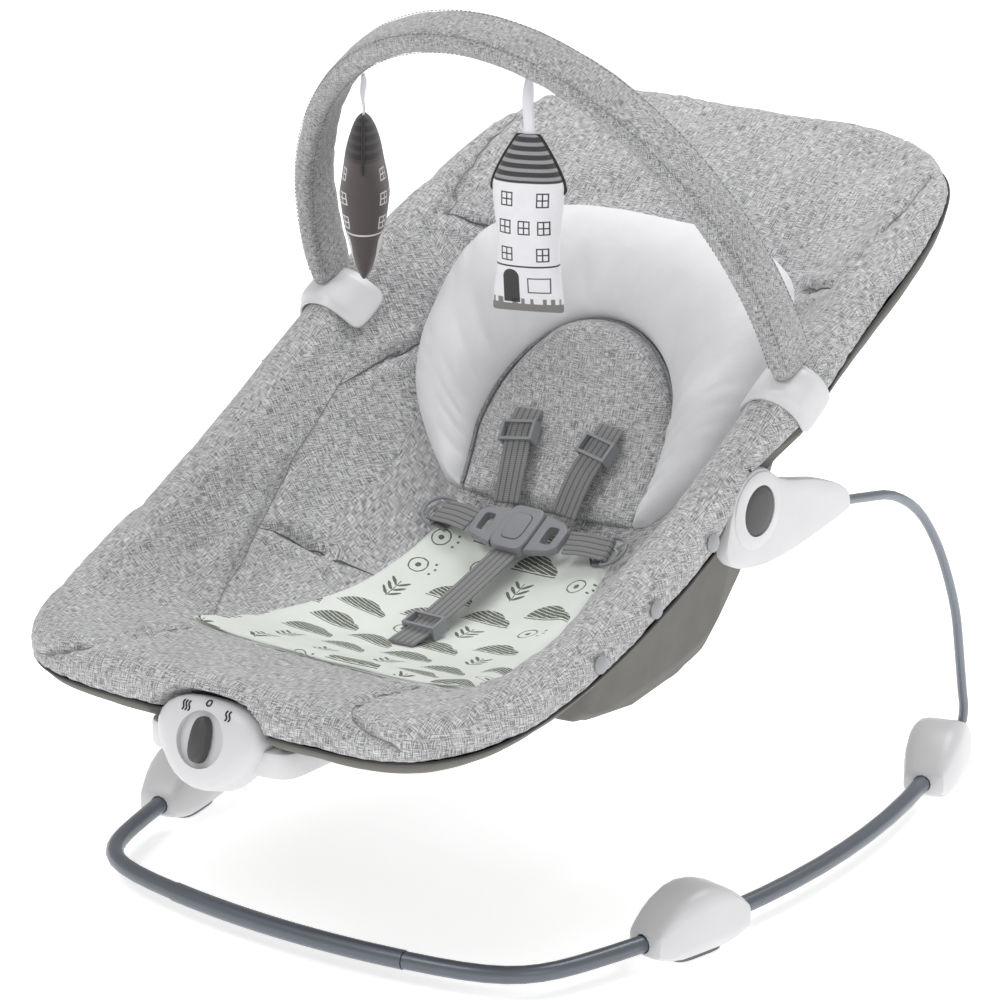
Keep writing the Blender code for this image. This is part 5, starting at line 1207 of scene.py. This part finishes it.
def make_pad_cord(seat, material):
    """The cord sewn in between the head cushion and the back pad."""
    path = []
    for share in between(-0.96, 0.96, 121):
        x, length = pad_edge(abs(share))
        at, up = seat.up_back(x if share > 0 else -x, length)
        path.append(at + up * (pad_thickness(length) * 0.30 + 0.002))
    loft_piece("pad_cord", tube_rings(path, PAD_CORD_RADIUS, 8), "seat", material)


def make_edge_piping(material):
    """The dark cord sewn between the marl and the cloth below, all the way round."""
    right = [station.round(angle - 0.8, ROLL_RADIUS - 0.0002) for station, angle in zip(LINE, ANGLES)]
    left = [on_side(p, -1) for p in reversed(right[1:-1])]
    right[0].x = right[-1].x = 0
    rings = tube_rings(clear_unit(hold_in(right + left)), PIPING_RADIUS, 8, closed=True)
    loft_piece("edge_piping", rings, "seat", material, closed=True)


# Toy bar and its toys

def bar_up():
    return Vector((0, cos(radians(BAR_LEAN)), sin(radians(BAR_LEAN))))


def bar_depth():
    return bar_up().cross(X_AXIS)


def arch_point(angle, inward=0.0):
    """A point of the arch, in radians from its right foot, drawn in toward its middle."""
    x = (BAR_HALF_WIDTH * (1 - BAR_TUCK * (1 - sin(angle)) ** 2) - inward) * cos(angle)
    up = (BAR_HEIGHT - inward) * sin(angle)
    return Vector((x, *BAR_FOOT)) + bar_up() * up


def make_sleeve(material, thread):
    """The padded sleeve over the toy bar, with creases across its inner side and a sewn edge."""
    start = SLEEVE_END / BAR_HEIGHT
    path = [arch_point(a) for a in between(start, pi - start, SLEEVE_RINGS)]
    section = superellipse(SLEEVE_WIDTH / 2, SLEEVE_THICKNESS / 2, 3.0, 44)
    rings = sweep(path, [bar_depth()] * len(path), section)
    sleeve = loft_piece("toy_bar_cloth", rings, "toy_bar", material)
    amounts = []
    for i, ring in enumerate(rings):
        ends = min(i, len(path) - 1 - i) / 5
        for p, (u, v) in zip(ring, section):
            inside = smoothstep(0.5 - v / SLEEVE_THICKNESS * 1.2) if v < 0 else 0.25
            crease = (1 - abs(bumpy((i * SLEEVE_STEP, u * 0.35, v * 0.35), 0.013, 1.0))) ** 6
            soft = 0.0008 * bumpy(p, 0.035, 2.0) + 0.0003 * bumpy(p, 0.012, 4.0)
            drawn = 0.0011 * crease * inside + 0.0009 * ridge(abs(u), SLEEVE_SEAM_ACROSS, 0.0013)
            amounts.append(soft - drawn - 0.0012 * max(1 - ends, 0))
    push_out(sleeve, amounts)
    subdivide(sleeve)
    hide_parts("toy_bar_sleeve", "toy_bar_core")
    path = path[2:-2]
    for n, (across, out) in enumerate(((-1, 1), (-1, -1), (1, 1))):
        u, v = across * SLEEVE_SEAM_ACROSS, out * SLEEVE_SEAM_OUT
        lines = sweep(path, [bar_depth()] * len(path), ((u, v), (u, v * 2)))
        row = [ring[0] for ring in lines]
        outs = [(ring[1] - ring[0]).normalized() for ring in lines]
        stitches(f"sleeve_stitches_{n}", row, outs, "toy_bar", thread)


def toy_top(x):
    """The place under the bar's middle line from which a toy hangs."""
    under = [arch_point(a, SLEEVE_THICKNESS / 2) for a in between(0.1, pi - 0.1, 600)]
    return min(under, key=lambda p: abs(p.x - x))


def toy_half_width(share, width):
    if share < ROOF_START:
        return width / 2 * (0.93 + 0.07 * cos(share / ROOF_START * 2 * pi))
    gable = (share - ROOF_START) / (1 - ROOF_START)
    return width / 2 * (1 - 0.72 * gable ** 1.3)


def make_ribbon(name, start, length, facing, body, material):
    """The satin ribbon that a toy hangs by, narrow where it leaves the sleeve. Gives its lower end."""
    turn = Vector((cos(radians(facing)), sin(radians(facing)), 0))
    rings = []
    for share in between(0, 1, RIBBON_RINGS):
        wave = 0.0008 * sin(share * 9)
        middle = start - Z_AXIS * length * share + bar_depth() * wave * min(share * 6, 1)
        across = bar_depth().lerp(turn, smoothstep(share * 1.1))
        if share:
            across.z = 0
        across.normalize()
        out = across.cross(Z_AXIS).normalized()
        half = RIBBON_HALF_WIDTH * (0.34 + 0.66 * min(1, share * 3))
        rings.append([middle + across * half * u + out * RIBBON_HALF_THICKNESS * v
                      for u, v in RIBBON_SECTION])
    ribbon = loft_piece(f"ribbon_{name}", rings, body, material)
    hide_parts(f"toy_ribbon_{name}")
    return middle


def make_toy(toy, material, ribbon_material, trim):
    """A stuffed house on its ribbon, with a cord sewn round its roof."""
    name, x, height, width, thickness, facing, length = toy
    body = f"hanging_toy_{name}"
    start = toy_top(x) - Z_AXIS * (RIBBON_DROP + 0.010 * abs(x))
    top = make_ribbon(name, start, length, facing, body, ribbon_material) - Z_AXIS * TOY_GAP
    rotate = Matrix.Rotation(radians(facing), 3, "Z")
    rings, uvs = [], []
    for share in (0.5 - 0.5 * cos(a) for a in between(0, pi, 63)):
        half = toy_half_width(share, width)
        edge = min(share, 1 - share)
        deep = max(thickness / 2 * min(1.0, (edge * 2 + 0.004) ** 0.42), 0.0012)
        nip = min(edge / 0.012, 1)
        half *= 0.90 + 0.10 * sqrt(max(1 - (1 - nip) ** 2, 0))
        middle = top - Z_AXIS * height * (1 - share)
        section = superellipse(half, deep, 2.2, 56)
        ring = []
        for u, v in section:
            rim = max(abs(u) / half - 0.55, 0) / 0.45
            pull = 0.0010 * (0.5 + 0.5 * sin(middle.z * 620 + 9 * u)) * rim
            soft = 0.0007 * bumpy(middle + rotate @ Vector((u, v, 0)), 0.022, 4.0)
            v *= 1 + soft / 0.012 - pull / max(deep, 0.004) * 0.8
            ring.append(middle + rotate @ Vector((u, v, 0)))
        rings.append(ring)
        uvs.append([(u, height * share) for u, _ in section])
    cloth = subdivide(loft_piece(f"toy_{name}_cloth", rings, body, material, uvs))
    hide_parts(f"toy_{name}")
    # The cord round the roof curls at each eave
    cord = [(toy_half_width(share, width) + 0.0006, height * share)
            for share in between(0.70, 0.995, 18)]
    eave_x, eave_z = cord[0]
    curl = [(eave_x + 0.0005 - EAVE_CURL * (1 - cos(a)) * (1 - a / 9), eave_z - EAVE_CURL * sin(a))
            for a in between(4.4, 0.0, 12)]
    outline = curl + cord[1:]
    outline += [(-u, z) for u, z in reversed(outline)]
    line = [top + rotate @ Vector((u, 0, 0)) + Z_AXIS * (z - height) for u, z in outline]
    loft_piece(f"toy_{name}_roof_cord", tube_rings(line, ROOF_CORD_RADIUS, 8), body, trim)


# Harness

def make_strap(name, route, sides, thickness, paired, material):
    """A strap along its route and, where it is one of a pair, its mirror image on the left."""
    path = evenly(smooth_path(off_datum(route), 8), len(sides))
    lengths = running_lengths(path)
    section = superellipse(WEBBING_WIDTH / 2, thickness / 2, 5.0, 28)
    rings = sweep(path, sides, section)
    uvs = [[(u, gone) for u, _ in section] for gone in lengths]
    for side in (1, -1) if paired else (1,):
        ending = f"_{side_name(side)}" if paired else ""
        placed = [[on_side(p, side) for p in ring] for ring in rings]
        strap = loft_piece(f"{name}_webbing{ending}", placed, "seat", material, uvs)
        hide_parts(f"{name}_strap{ending}")


def make_harness(material):
    first, last = (Vector(side) for side in WAIST_SIDES)
    waist_sides = [first.lerp(last, smoothstep(i / WAIST_TURN)) for i in range(STRAP_RINGS)]
    make_strap("shoulder", SHOULDER_PATH, [X_AXIS] * SHOULDER_RINGS, WEBBING_THICKNESS, True, material)
    make_strap("crotch", CROTCH_PATH, [X_AXIS] * STRAP_RINGS, WEBBING_THICKNESS, False, material)
    make_strap("waist", WAIST_PATH, waist_sides, WEBBING_THICKNESS * 0.6, True, material)


# Hard parts

def rebuilt(node, materials, bevel, sharp):
    """A hard part with softened edges and smoothly shaded round faces, standing for its CAD node."""
    slot = node.data.materials[0].name
    mesh = bpy.data.meshes.new(node.name + "_finish")
    faces = [tuple(face.vertices) for face in node.data.polygons]
    mesh.from_pydata([vert.co for vert in node.data.vertices], [], faces)
    work = bmesh.new()
    work.from_mesh(mesh)
    bmesh.ops.remove_doubles(work, verts=work.verts, dist=1.5e-5)
    bmesh.ops.dissolve_limit(work, angle_limit=radians(0.6), verts=work.verts, edges=work.edges)
    for face in work.faces:
        face.smooth = True
    for edge in work.edges:
        edge.smooth = not edge.is_manifold or edge.calc_face_angle(0) < radians(sharp)
    work.to_mesh(mesh)
    work.free()
    obj = bpy.data.objects.new(node.name + "_finish", mesh)
    bpy.context.scene.collection.objects.link(obj)
    mesh.materials.append(materials[slot])
    if bevel:
        round_off = obj.modifiers.new("Round", "BEVEL")
        round_off.width, round_off.segments = bevel, 2
        round_off.limit_method, round_off.angle_limit = "ANGLE", radians(sharp)
        round_off.harden_normals = True
    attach(obj, node.parent.name.split(":")[1])
    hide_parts(node.name)
    return obj


def make_clip(side, material):
    """A clip of the toy bar: a saddle over the roll with round-cornered flaps and a low boss."""
    beside = [station for station in LINE if station.middle.x > RIM_HALF_WIDTH * 0.7]
    station = min(beside, key=lambda s: abs(s.middle.y - BAR_FOOT[0]))
    outer, inner = (smooth_path([(*p, 0.0) for p in profile], 5) for profile in zip(*CLIP_PROFILES))
    lengths = running_lengths(outer)
    rings = []
    for high, low, length in zip(outer, inner, lengths):
        from_end = min(length, lengths[-1] - length)
        inset = max(CLIP_CORNER - from_end, 0.0)
        half = CLIP_HALF_LENGTH - CLIP_CORNER + sqrt(max(CLIP_CORNER ** 2 - inset ** 2, 1e-7))
        thin = low + (high - low).normalized() * CLIP_WALL
        edge = min(CLIP_EDGE[0] + from_end / CLIP_EDGE[1], 1.0)
        ring = []
        for angle in between(0, 2 * pi, 57)[:-1]:
            along = half * signed_power(cos(angle), CLIP_SQUARENESS)
            rise = signed_power(sin(angle), CLIP_SQUARENESS) * edge
            slope = smoothstep((abs(along) - CLIP_BOSS[0]) / (CLIP_BOSS[1] - CLIP_BOSS[0]))
            crest = high.lerp(thin, slope)
            at = low.lerp(crest, 0.5 + 0.5 * rise)
            point = station.middle + station.out * at.x + station.up * at.y + station.along * along
            ring.append(on_side(point, side))
        rings.append(ring)
    name = f"toy_bar_clip_{side_name(side)}"
    clip = subdivide(loft_piece(name + "_finish", rings, "toy_bar", material))
    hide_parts(name)


def make_symbols(housing, material):
    """Raised marks over the dial: three waves, a ring and two waves."""
    tree = surface_tree(housing)
    place = unit_place()
    up = place.to_3x3() @ Z_AXIS
    lines = []
    for middle, count in ((-0.020, 3), (0.021, 2)):
        for n in range(count):
            x, y = middle + (n - (count - 1) / 2) * 0.0030, 0.0270 - abs(middle) * 0.2
            lines.append([(x + 0.0010 * sin(t * 2 * pi), y + (t - 0.5) * 0.0078)
                          for t in between(0, 1, 13)])
    lines.append([(0.0022 * cos(a), 0.0285 + 0.0022 * sin(a)) for a in between(0, 2 * pi, 17)])
    for n, line in enumerate(lines):
        path = []
        for x, y in line:
            hit = tree.ray_cast(place @ Vector((x, y, 0.04)), -up)[0]
            path.append((hit or place @ Vector((x, y, 0.008))) + up * 0.0001)
        loft_piece(f"dial_mark_{n}", tube_rings(path, MARK_RADIUS, 6), "seat", material)


# Materials

def marl_look(name, dark, light, contrast=1.0, fineness=1.0):
    """Marl cloth: slubbed light and dark threads that cross, with a plain weave under them."""
    look = Look(name, roughness=0.92, sheen_weight=0.25, sheen_roughness=0.6)
    a, b = look.flat()
    long, short = 140.0 * fineness, 1650.0 * fineness
    across = look.noise(a * long, b * short, 0.0, 1.0, 0.4)
    along = look.noise(a * short, b * long, 9.0, 1.0, 0.4)
    cloud = look.noise(a * 22.0, b * 22.0, 3.0, 1.0)
    threads = weave(a, b, 3900.0)
    tone = across * 0.5 + along * 0.5 + (cloud - 0.5) * 0.06 + threads * 0.01
    tone = ((tone - 0.5) * (5.6 * contrast) + 0.50).math("MAXIMUM", 0.0).capped()
    look.set("Base Color", look.mix(tone, srgb(dark), srgb(light)))
    look.set("Roughness", 0.86 + tone * 0.1)
    look.bump(tone * 0.6 + threads * 0.2, 0.00045, 0.7)
    return look.material


def plain_cloth_look(name, colour, shade, scale=3300.0, sheen=0.15, roughness=0.85, depth=0.00018):
    """Plain closely woven cloth, a little uneven in tone."""
    look = Look(name, roughness=roughness, sheen_weight=sheen, sheen_roughness=0.5)
    a, b = look.flat()
    threads = weave(a, b, scale)
    cloud = look.noise(a * 40.0, b * 40.0, 1.0, 3.0)
    fine = look.noise(a * 900.0, b * 900.0, 5.0, 1.0)
    tone = (cloud - 0.5) * 0.9 + (fine - 0.5) * 0.6 + threads * 0.12 + 0.5
    look.set("Base Color", look.mix(tone, srgb(shade), srgb(colour)))
    look.set("Roughness", roughness + (fine - 0.5) * 0.15)
    look.bump(threads * 0.4 + fine * 0.5, depth, 0.6)
    return look.material


def disc_mask(u, v, x, y, radius):
    """1 inside a disc at (x, y)."""
    du, dv = u - x, v - y
    return (du * du + dv * dv).math("SQRT").below(radius - PRINT_EDGE, radius + PRINT_EDGE)


def box_mask(u, v, x, y, half_width, half_height):
    """1 inside a rectangle centred at (x, y)."""
    return ((u - x).within(half_width - PRINT_EDGE, half_width + PRINT_EDGE)
            * (v - y).within(half_height - PRINT_EDGE, half_height + PRINT_EDGE))


def print_look(name):
    """Printed cotton: sprigs, hills and ringed dots in rows that step by half, on a pale ground."""
    look = Look(name, roughness=0.82, sheen_weight=0.12, sheen_roughness=0.5)
    u, v = look.cloth()
    width, height = PRINT_CELL
    column = (u / width).math("FLOOR")
    stepped = v + (column * 0.5).math("FRACT") * height
    row = (stepped / height).math("FLOOR")
    p = ((u / width).math("FRACT") - 0.5) * width
    q = ((stepped / height).math("FRACT") - 0.5) * height
    kind = look.node("TexWhiteNoise", None, {"Vector": look.vector(column, row, 4.0)})
    wobble = look.noise(u * 260.0, v * 260.0, 2.0, 1.0) - 0.5
    p, q = p + wobble * 0.0014, q + wobble * 0.0012
    # A hill with ploughed lines, over a short ground line
    domes = disc_mask(p, q, -0.003, -0.0095, 0.0185) + disc_mask(p, q, 0.012, -0.0095, 0.0100)
    furrows = (q * 1750.0 + p * 500.0).math("SINE").above(-0.90, -0.70)
    ground = p.within(0.0225, 0.0229) * (q + 0.0112).within(0.0005, 0.0008)
    hills = ((domes * q.above(-0.0095, -0.0091)).capped() * furrows + ground).capped()
    # A sprig of three leaf pairs on a stem
    stem = p.within(0.0003, 0.0006) * q.within(0.0112, 0.0116)
    side = p.math("ABSOLUTE")
    climb = (q + 0.0135 - side * 0.85) / 0.0072
    leaf_v = (climb.math("FRACT") - 0.5) * 0.0072
    leaf_u = (side - 0.0048) / 0.0043
    leaf = (leaf_u * leaf_u + (leaf_v / 0.0020) * (leaf_v / 0.0020)).below(0.86, 1.08)
    leaf = leaf * (climb - 1.5).within(1.46, 1.5)
    sprigs = (stem + leaf).capped()
    # A ring with a dot, and three small dots
    away = (p * p + q * q).math("SQRT")
    rings = (away - 0.0082).within(0.0005, 0.0008) + away.below(0.0024, 0.0028)
    for x, y in ((0.0145, 0.006), (0.0165, 0.0), (0.0145, -0.006)):
        rings = rings + disc_mask(p, q, x, y, 0.0013)
    rings = rings.capped()
    first, last = kind.below(0.38, 0.381), kind.above(0.70, 0.701)
    ink = first * hills + last * rings + (1.0 - first - last) * sprigs
    worn = look.noise(u * 700.0, v * 700.0, 0.0, 2.0)
    ink = ink * (0.80 + worn * 0.25)
    cloud = look.noise(u * 30.0, v * 30.0, 7.0, 2.0)
    pale = look.mix(cloud, srgb((221, 226, 219)), srgb((233, 236, 231)))
    look.set("Base Color", look.mix(ink, pale, srgb((78, 85, 70))))
    look.set("Roughness", 0.80 + ink * 0.08)
    look.bump(weave(u, v, 3300.0) * 0.4 + worn * 0.3, 0.00015, 0.5)
    return look.material


def toy_look(name, height, width, base, ink, skirt=None):
    """Printed plush as a house: a tiled roof, barred windows and an arched door to one side.

    With a skirt, its roof is drawn in ink and its foot printed with stones. Without, its roof is dark.
    """
    look = Look(name, roughness=0.85, sheen_weight=0.3, sheen_roughness=0.5)
    u, v = look.cloth()
    share = v / height
    ledge = share.above(0.742, 0.748)
    tiles = ((v * 950.0).math("SINE") * 0.5 + 0.5).above(0.25, 0.5)
    marks = ledge * (0.65 + 0.35 * tiles) if skirt else 0.0
    for level, columns in ((0.655, (-0.25, 0.25)), (0.50, (-0.27, 0.0, 0.27)), (0.345, (-0.25, 0.25))):
        for column in columns:
            x, y = column * width, level * height
            outer = box_mask(u, v, x, y, width * 0.085, height * 0.040)
            pane = box_mask(u, v, x, y, width * 0.085 - 0.0011, height * 0.040 - 0.0011)
            bars = (u - x).within(0.0004, 0.0007) + (v - y).within(0.0004, 0.0007)
            marks = marks + outer - pane * (1.0 - bars.capped())
    door_x = -0.20 * width
    door = box_mask(u, v, door_x, height * 0.135, width * 0.115, height * 0.075)
    arch = disc_mask(u, v, door_x, height * 0.21, width * 0.115)
    shop = box_mask(u, v, 0.19 * width, height * 0.165, width * 0.16, height * 0.045)
    inner = box_mask(u, v, 0.19 * width, height * 0.165, width * 0.16 - 0.001, height * 0.045 - 0.001)
    step = (share - 0.275).within(0.004, 0.006)
    marks = (marks + door + arch + shop - inner + step).capped().math("MAXIMUM", 0.0)
    cloud = look.noise(u * 90.0, v * 90.0, 0.0, 3.0)
    fine = look.noise(u * 1500.0, v * 1500.0, 0.0, 1.0)
    ground = look.mix(cloud, srgb(base, 0.95), srgb(base))
    if skirt:
        stones = look.noise(u * 160.0, 1.0, 3.0, 1.0).above(0.5, 0.54) * share.below(0.082, 0.086)
        ground = look.mix((share.below(0.050, 0.054) + stones).capped(), ground, srgb(skirt))
    else:
        ground = look.mix(ledge * (0.55 + 0.45 * tiles), ground, srgb((44, 41, 41)))
    look.set("Base Color", look.mix(marks * (0.88 + fine * 0.15), ground, srgb(ink)))
    look.set("Roughness", 0.78 + fine * 0.16)
    look.bump(fine + marks * 0.2, 0.00022, 0.5)
    return look.material


def webbing_look(name):
    """Woven strap: raised cords down it with fine ribs across them, and painted shade in the grooves
    between the cords.
    """
    look = Look(name, roughness=0.75, sheen_weight=0.15, sheen_roughness=0.4)
    u, v = look.cloth()
    ribs = (v * 3600.0).math("SINE") * 0.5 + 0.5
    ridge = (u * (pi / WEBBING_RIB)).math("COSINE").math("ABSOLUTE")
    # Painted shade: the grooves between the raised cords are darkened toward a dark grey
    painted_groove_shade = ridge.below(0.10, 0.55)
    fine = look.noise(u * 1300.0, v * 400.0, 0.0, 2.0)
    tone = ribs * 0.5 + fine * 0.5
    cloth = look.mix(tone, srgb((112, 112, 113)), srgb((152, 152, 153)))
    look.set("Base Color", look.mix(painted_groove_shade * 0.75, cloth, srgb((74, 74, 76))))
    look.set("Roughness", 0.70 + fine * 0.16)
    look.bump(ridge * 0.9 + ribs * 0.35 * ridge + fine * 0.2, 0.00055, 0.8)
    return look.material


def moulded_look(name, colour, roughness, grain=0.00003, shade=0.93, coat=0.0):
    """Moulded plastic: a fine spark-eroded grain, slight flow in tone and a duller handled surface."""
    look = Look(name, roughness=roughness, coat_weight=coat, coat_roughness=0.25)
    x, y, z = look.spot()
    fine = look.noise(x * 2600.0, y * 2600.0, z * 2600.0, 2.0)
    broad = look.noise(x * 26.0, y * 26.0, z * 26.0, 2.0)
    scuff = look.noise(x * 300.0 + y * 60.0, y * 45.0, z * 300.0, 4.0, 0.65).above(0.62, 0.78)
    look.set("Base Color", look.mix(broad * 0.7 + scuff * 0.15, srgb(colour), srgb(colour, shade)))
    look.set("Roughness", roughness + (broad - 0.5) * 0.10 + scuff * 0.10 + (fine - 0.5) * 0.06)
    look.bump(fine, grain, 0.6)
    return look.material


def metal_look(name, colour, roughness, metallic, coat=0.0):
    """Powder-coated or drawn metal with a fine orange-peel and faint rubbing."""
    look = Look(name, metallic=metallic, roughness=roughness, coat_weight=coat, coat_roughness=0.2)
    x, y, z = look.spot()
    peel = look.noise(x * 800.0, y * 800.0, z * 800.0, 2.0)
    broad = look.noise(x * 18.0, y * 18.0, z * 18.0, 2.0)
    rub = look.noise(x * 120.0, y * 120.0, z * 120.0, 5.0, 0.7).above(0.66, 0.80)
    look.set("Base Color", look.mix(broad * 0.5 + rub * 0.35, srgb(colour), srgb(colour, 1.10)))
    look.set("Roughness", roughness + (broad - 0.5) * 0.08 + rub * 0.08)
    look.bump(peel, 0.00004, 0.5)
    return look.material


def make_looks():
    """Every material, under the name of the slot or the piece that wears it."""
    return {
        "marl_cloth": marl_look("marl_weave", (116, 116, 118), (218, 218, 219)),
        "marl_fine": marl_look("marl_fine_weave", (124, 124, 126), (222, 222, 223), 0.9),
        # Finer marl for the sleeve; its threads are darker than the seat's to paint the shade that falls
        # on the sleeve
        "marl_sleeve": marl_look("marl_sleeve_weave", (102, 102, 104), (208, 208, 209), 0.95, 1.45),
        "under_cloth": plain_cloth_look("under_weave", (108, 106, 101), (88, 86, 82)),
        "white_cloth": plain_cloth_look("white_knit", (244, 244, 246), (230, 230, 234), 4200.0, 0.25),
        "ribbon": plain_cloth_look("satin_ribbon", (238, 238, 243), (222, 222, 229), 5200.0, 0.3, 0.45),
        "print_cloth": print_look("printed_cotton"),
        "dark_toy": toy_look("dark_plush_print", *TOYS[0][2:4], (84, 77, 76), (214, 212, 210)),
        "white_toy": toy_look("white_plush_print", *TOYS[1][2:4], (240, 239, 243), (26, 26, 27),
                              (128, 126, 124)),
        "seam": plain_cloth_look("seam_cord", (146, 146, 148), (124, 124, 126), 5200.0),
        # Painted shadow: the dark cord laid in each fold of the cover
        "crease": plain_cloth_look("crease_cord", (108, 108, 110), (90, 90, 92), 5200.0),
        "piping": plain_cloth_look("piping_cord", (74, 73, 71), (56, 55, 54), 5200.0),
        "dark_trim": plain_cloth_look("dark_cord", (52, 51, 50), (36, 36, 36), 5200.0),
        "thread": plain_cloth_look("grey_thread", (140, 141, 144), (112, 113, 116), 5200.0),
        "cord": marl_look("cord_weave", (104, 105, 108), (176, 177, 180)),
        "webbing": webbing_look("ribbed_webbing"),
        "satin_tube": metal_look("tube_coat", (100, 106, 115), 0.36, 0.35, 0.3),
        "spring_steel": metal_look("rod_coat", (120, 126, 134), 0.34, 0.40, 0.2),
        "zinc_steel": metal_look("zinc_plate", (168, 170, 172), 0.38, 0.9),
        "white_plastic": moulded_look("white_moulding", (222, 222, 224), 0.36, coat=0.12),
        "white_plastic_door": moulded_look("white_door_moulding", (224, 224, 226), 0.44),
        "dark_plastic": moulded_look("dark_moulding", (74, 74, 74), 0.46, 0.00004, 0.86),
        "ink": moulded_look("printed_ink", (34, 34, 35), 0.5, 0.00002, 0.85),
        "grey_plastic": moulded_look("grey_moulding", (146, 148, 152), 0.38, 0.00003, 0.9, 0.1),
        "stud_plastic": moulded_look("stud_moulding", (160, 161, 165), 0.34, 0.00003, 0.9, 0.2),
        "bracket_plastic": moulded_look("bracket_moulding", (188, 188, 190), 0.5),
        "rubber_pad": moulded_look("pad_rubber", (118, 119, 120), 0.8, 0.00008, 0.85),
    }


# Camera, floor and lights

def make_camera():
    azimuth, elevation = radians(CAMERA_AZIMUTH), radians(CAMERA_ELEVATION)
    back = Vector((sin(azimuth) * cos(elevation), -cos(azimuth) * cos(elevation), sin(elevation)))
    data = bpy.data.cameras.new("camera")
    data.lens, data.sensor_width = CAMERA_LENS, 36
    data.shift_x, data.shift_y = CAMERA_SHIFT
    camera = bpy.data.objects.new("camera", data)
    bpy.context.scene.collection.objects.link(camera)
    camera.location = Vector((0, DATUM_Y, CAMERA_HEIGHT)) + back * CAMERA_DISTANCE
    camera.rotation_euler = back.to_track_quat("Z", "Y").to_euler()
    bpy.context.scene.camera = camera


def make_light(name, place, size, power):
    data = bpy.data.lights.new(name, "AREA")
    data.shape, data.size, data.energy = "DISK", size, power
    light = bpy.data.objects.new(name, data)
    bpy.context.scene.collection.objects.link(light)
    light.location = place
    light.rotation_euler = (Vector(place) - Vector(LIGHT_TARGET)).to_track_quat("Z", "Y").to_euler()


def make_stage():
    half = FLOOR_SIZE / 2
    mesh = bpy.data.meshes.new("floor")
    corners = ((-half, -half), (half, -half), (half, half), (-half, half))
    mesh.from_pydata([(x, y, FLOOR_Z) for x, y in corners], [], [(0, 1, 2, 3)])
    floor = bpy.data.objects.new("floor", mesh)
    bpy.context.scene.collection.objects.link(floor)
    look = Look("paper", roughness=0.9)
    look.set("Base Color", srgb((250, 250, 250)))
    look.set("Emission Color", (1.0, 1.0, 1.0))
    look.set("Emission Strength", FLOOR_GLOW)
    mesh.materials.append(look.material)
    world = bpy.data.worlds.new("studio")
    bpy.context.scene.world = world
    world.use_nodes = True
    background = world.node_tree.nodes["Background"].inputs
    background["Color"].default_value = (1.0, 1.0, 1.0, 1.0)
    background["Strength"].default_value = WORLD_LIGHT
    for light in LIGHTS:
        make_light(*light)
    bpy.context.scene.view_settings.view_transform = "Standard"


def main():
    looks = make_looks()
    make_camera()
    make_stage()
    cover, seat = make_cover(looks["marl_cloth"])
    # The second look is the painted shadow in the folds
    make_seam_threads(cover, (looks["seam"], looks["crease"]))
    make_under_cover(looks["under_cloth"])
    make_edge_piping(looks["piping"])
    make_panel(seat, looks["print_cloth"])
    make_back_pad(seat, looks["marl_fine"])
    make_head_cushion(seat, looks["white_cloth"])
    make_pad_cord(seat, looks["cord"])
    # The sleeve's look carries painted shade in its darker tone
    make_sleeve(looks["marl_sleeve"], looks["thread"])
    for side in (1, -1):
        make_clip(side, looks["white_plastic"])
    make_toy(TOYS[0], looks["dark_toy"], looks["ribbon"], looks["dark_trim"])
    make_toy(TOYS[1], looks["white_toy"], looks["ribbon"], looks["dark_trim"])
    make_harness(looks["webbing"])
    hard = {}
    for name, node in NODES.items():
        if not node.hide_render:
            bevel, sharp = HARD_EDGES.get(node.data.materials[0].name, OTHER_EDGES)
            hard[name] = rebuilt(node, looks, bevel, sharp)
    make_symbols(hard["vibration_housing"], looks["ink"])


main()
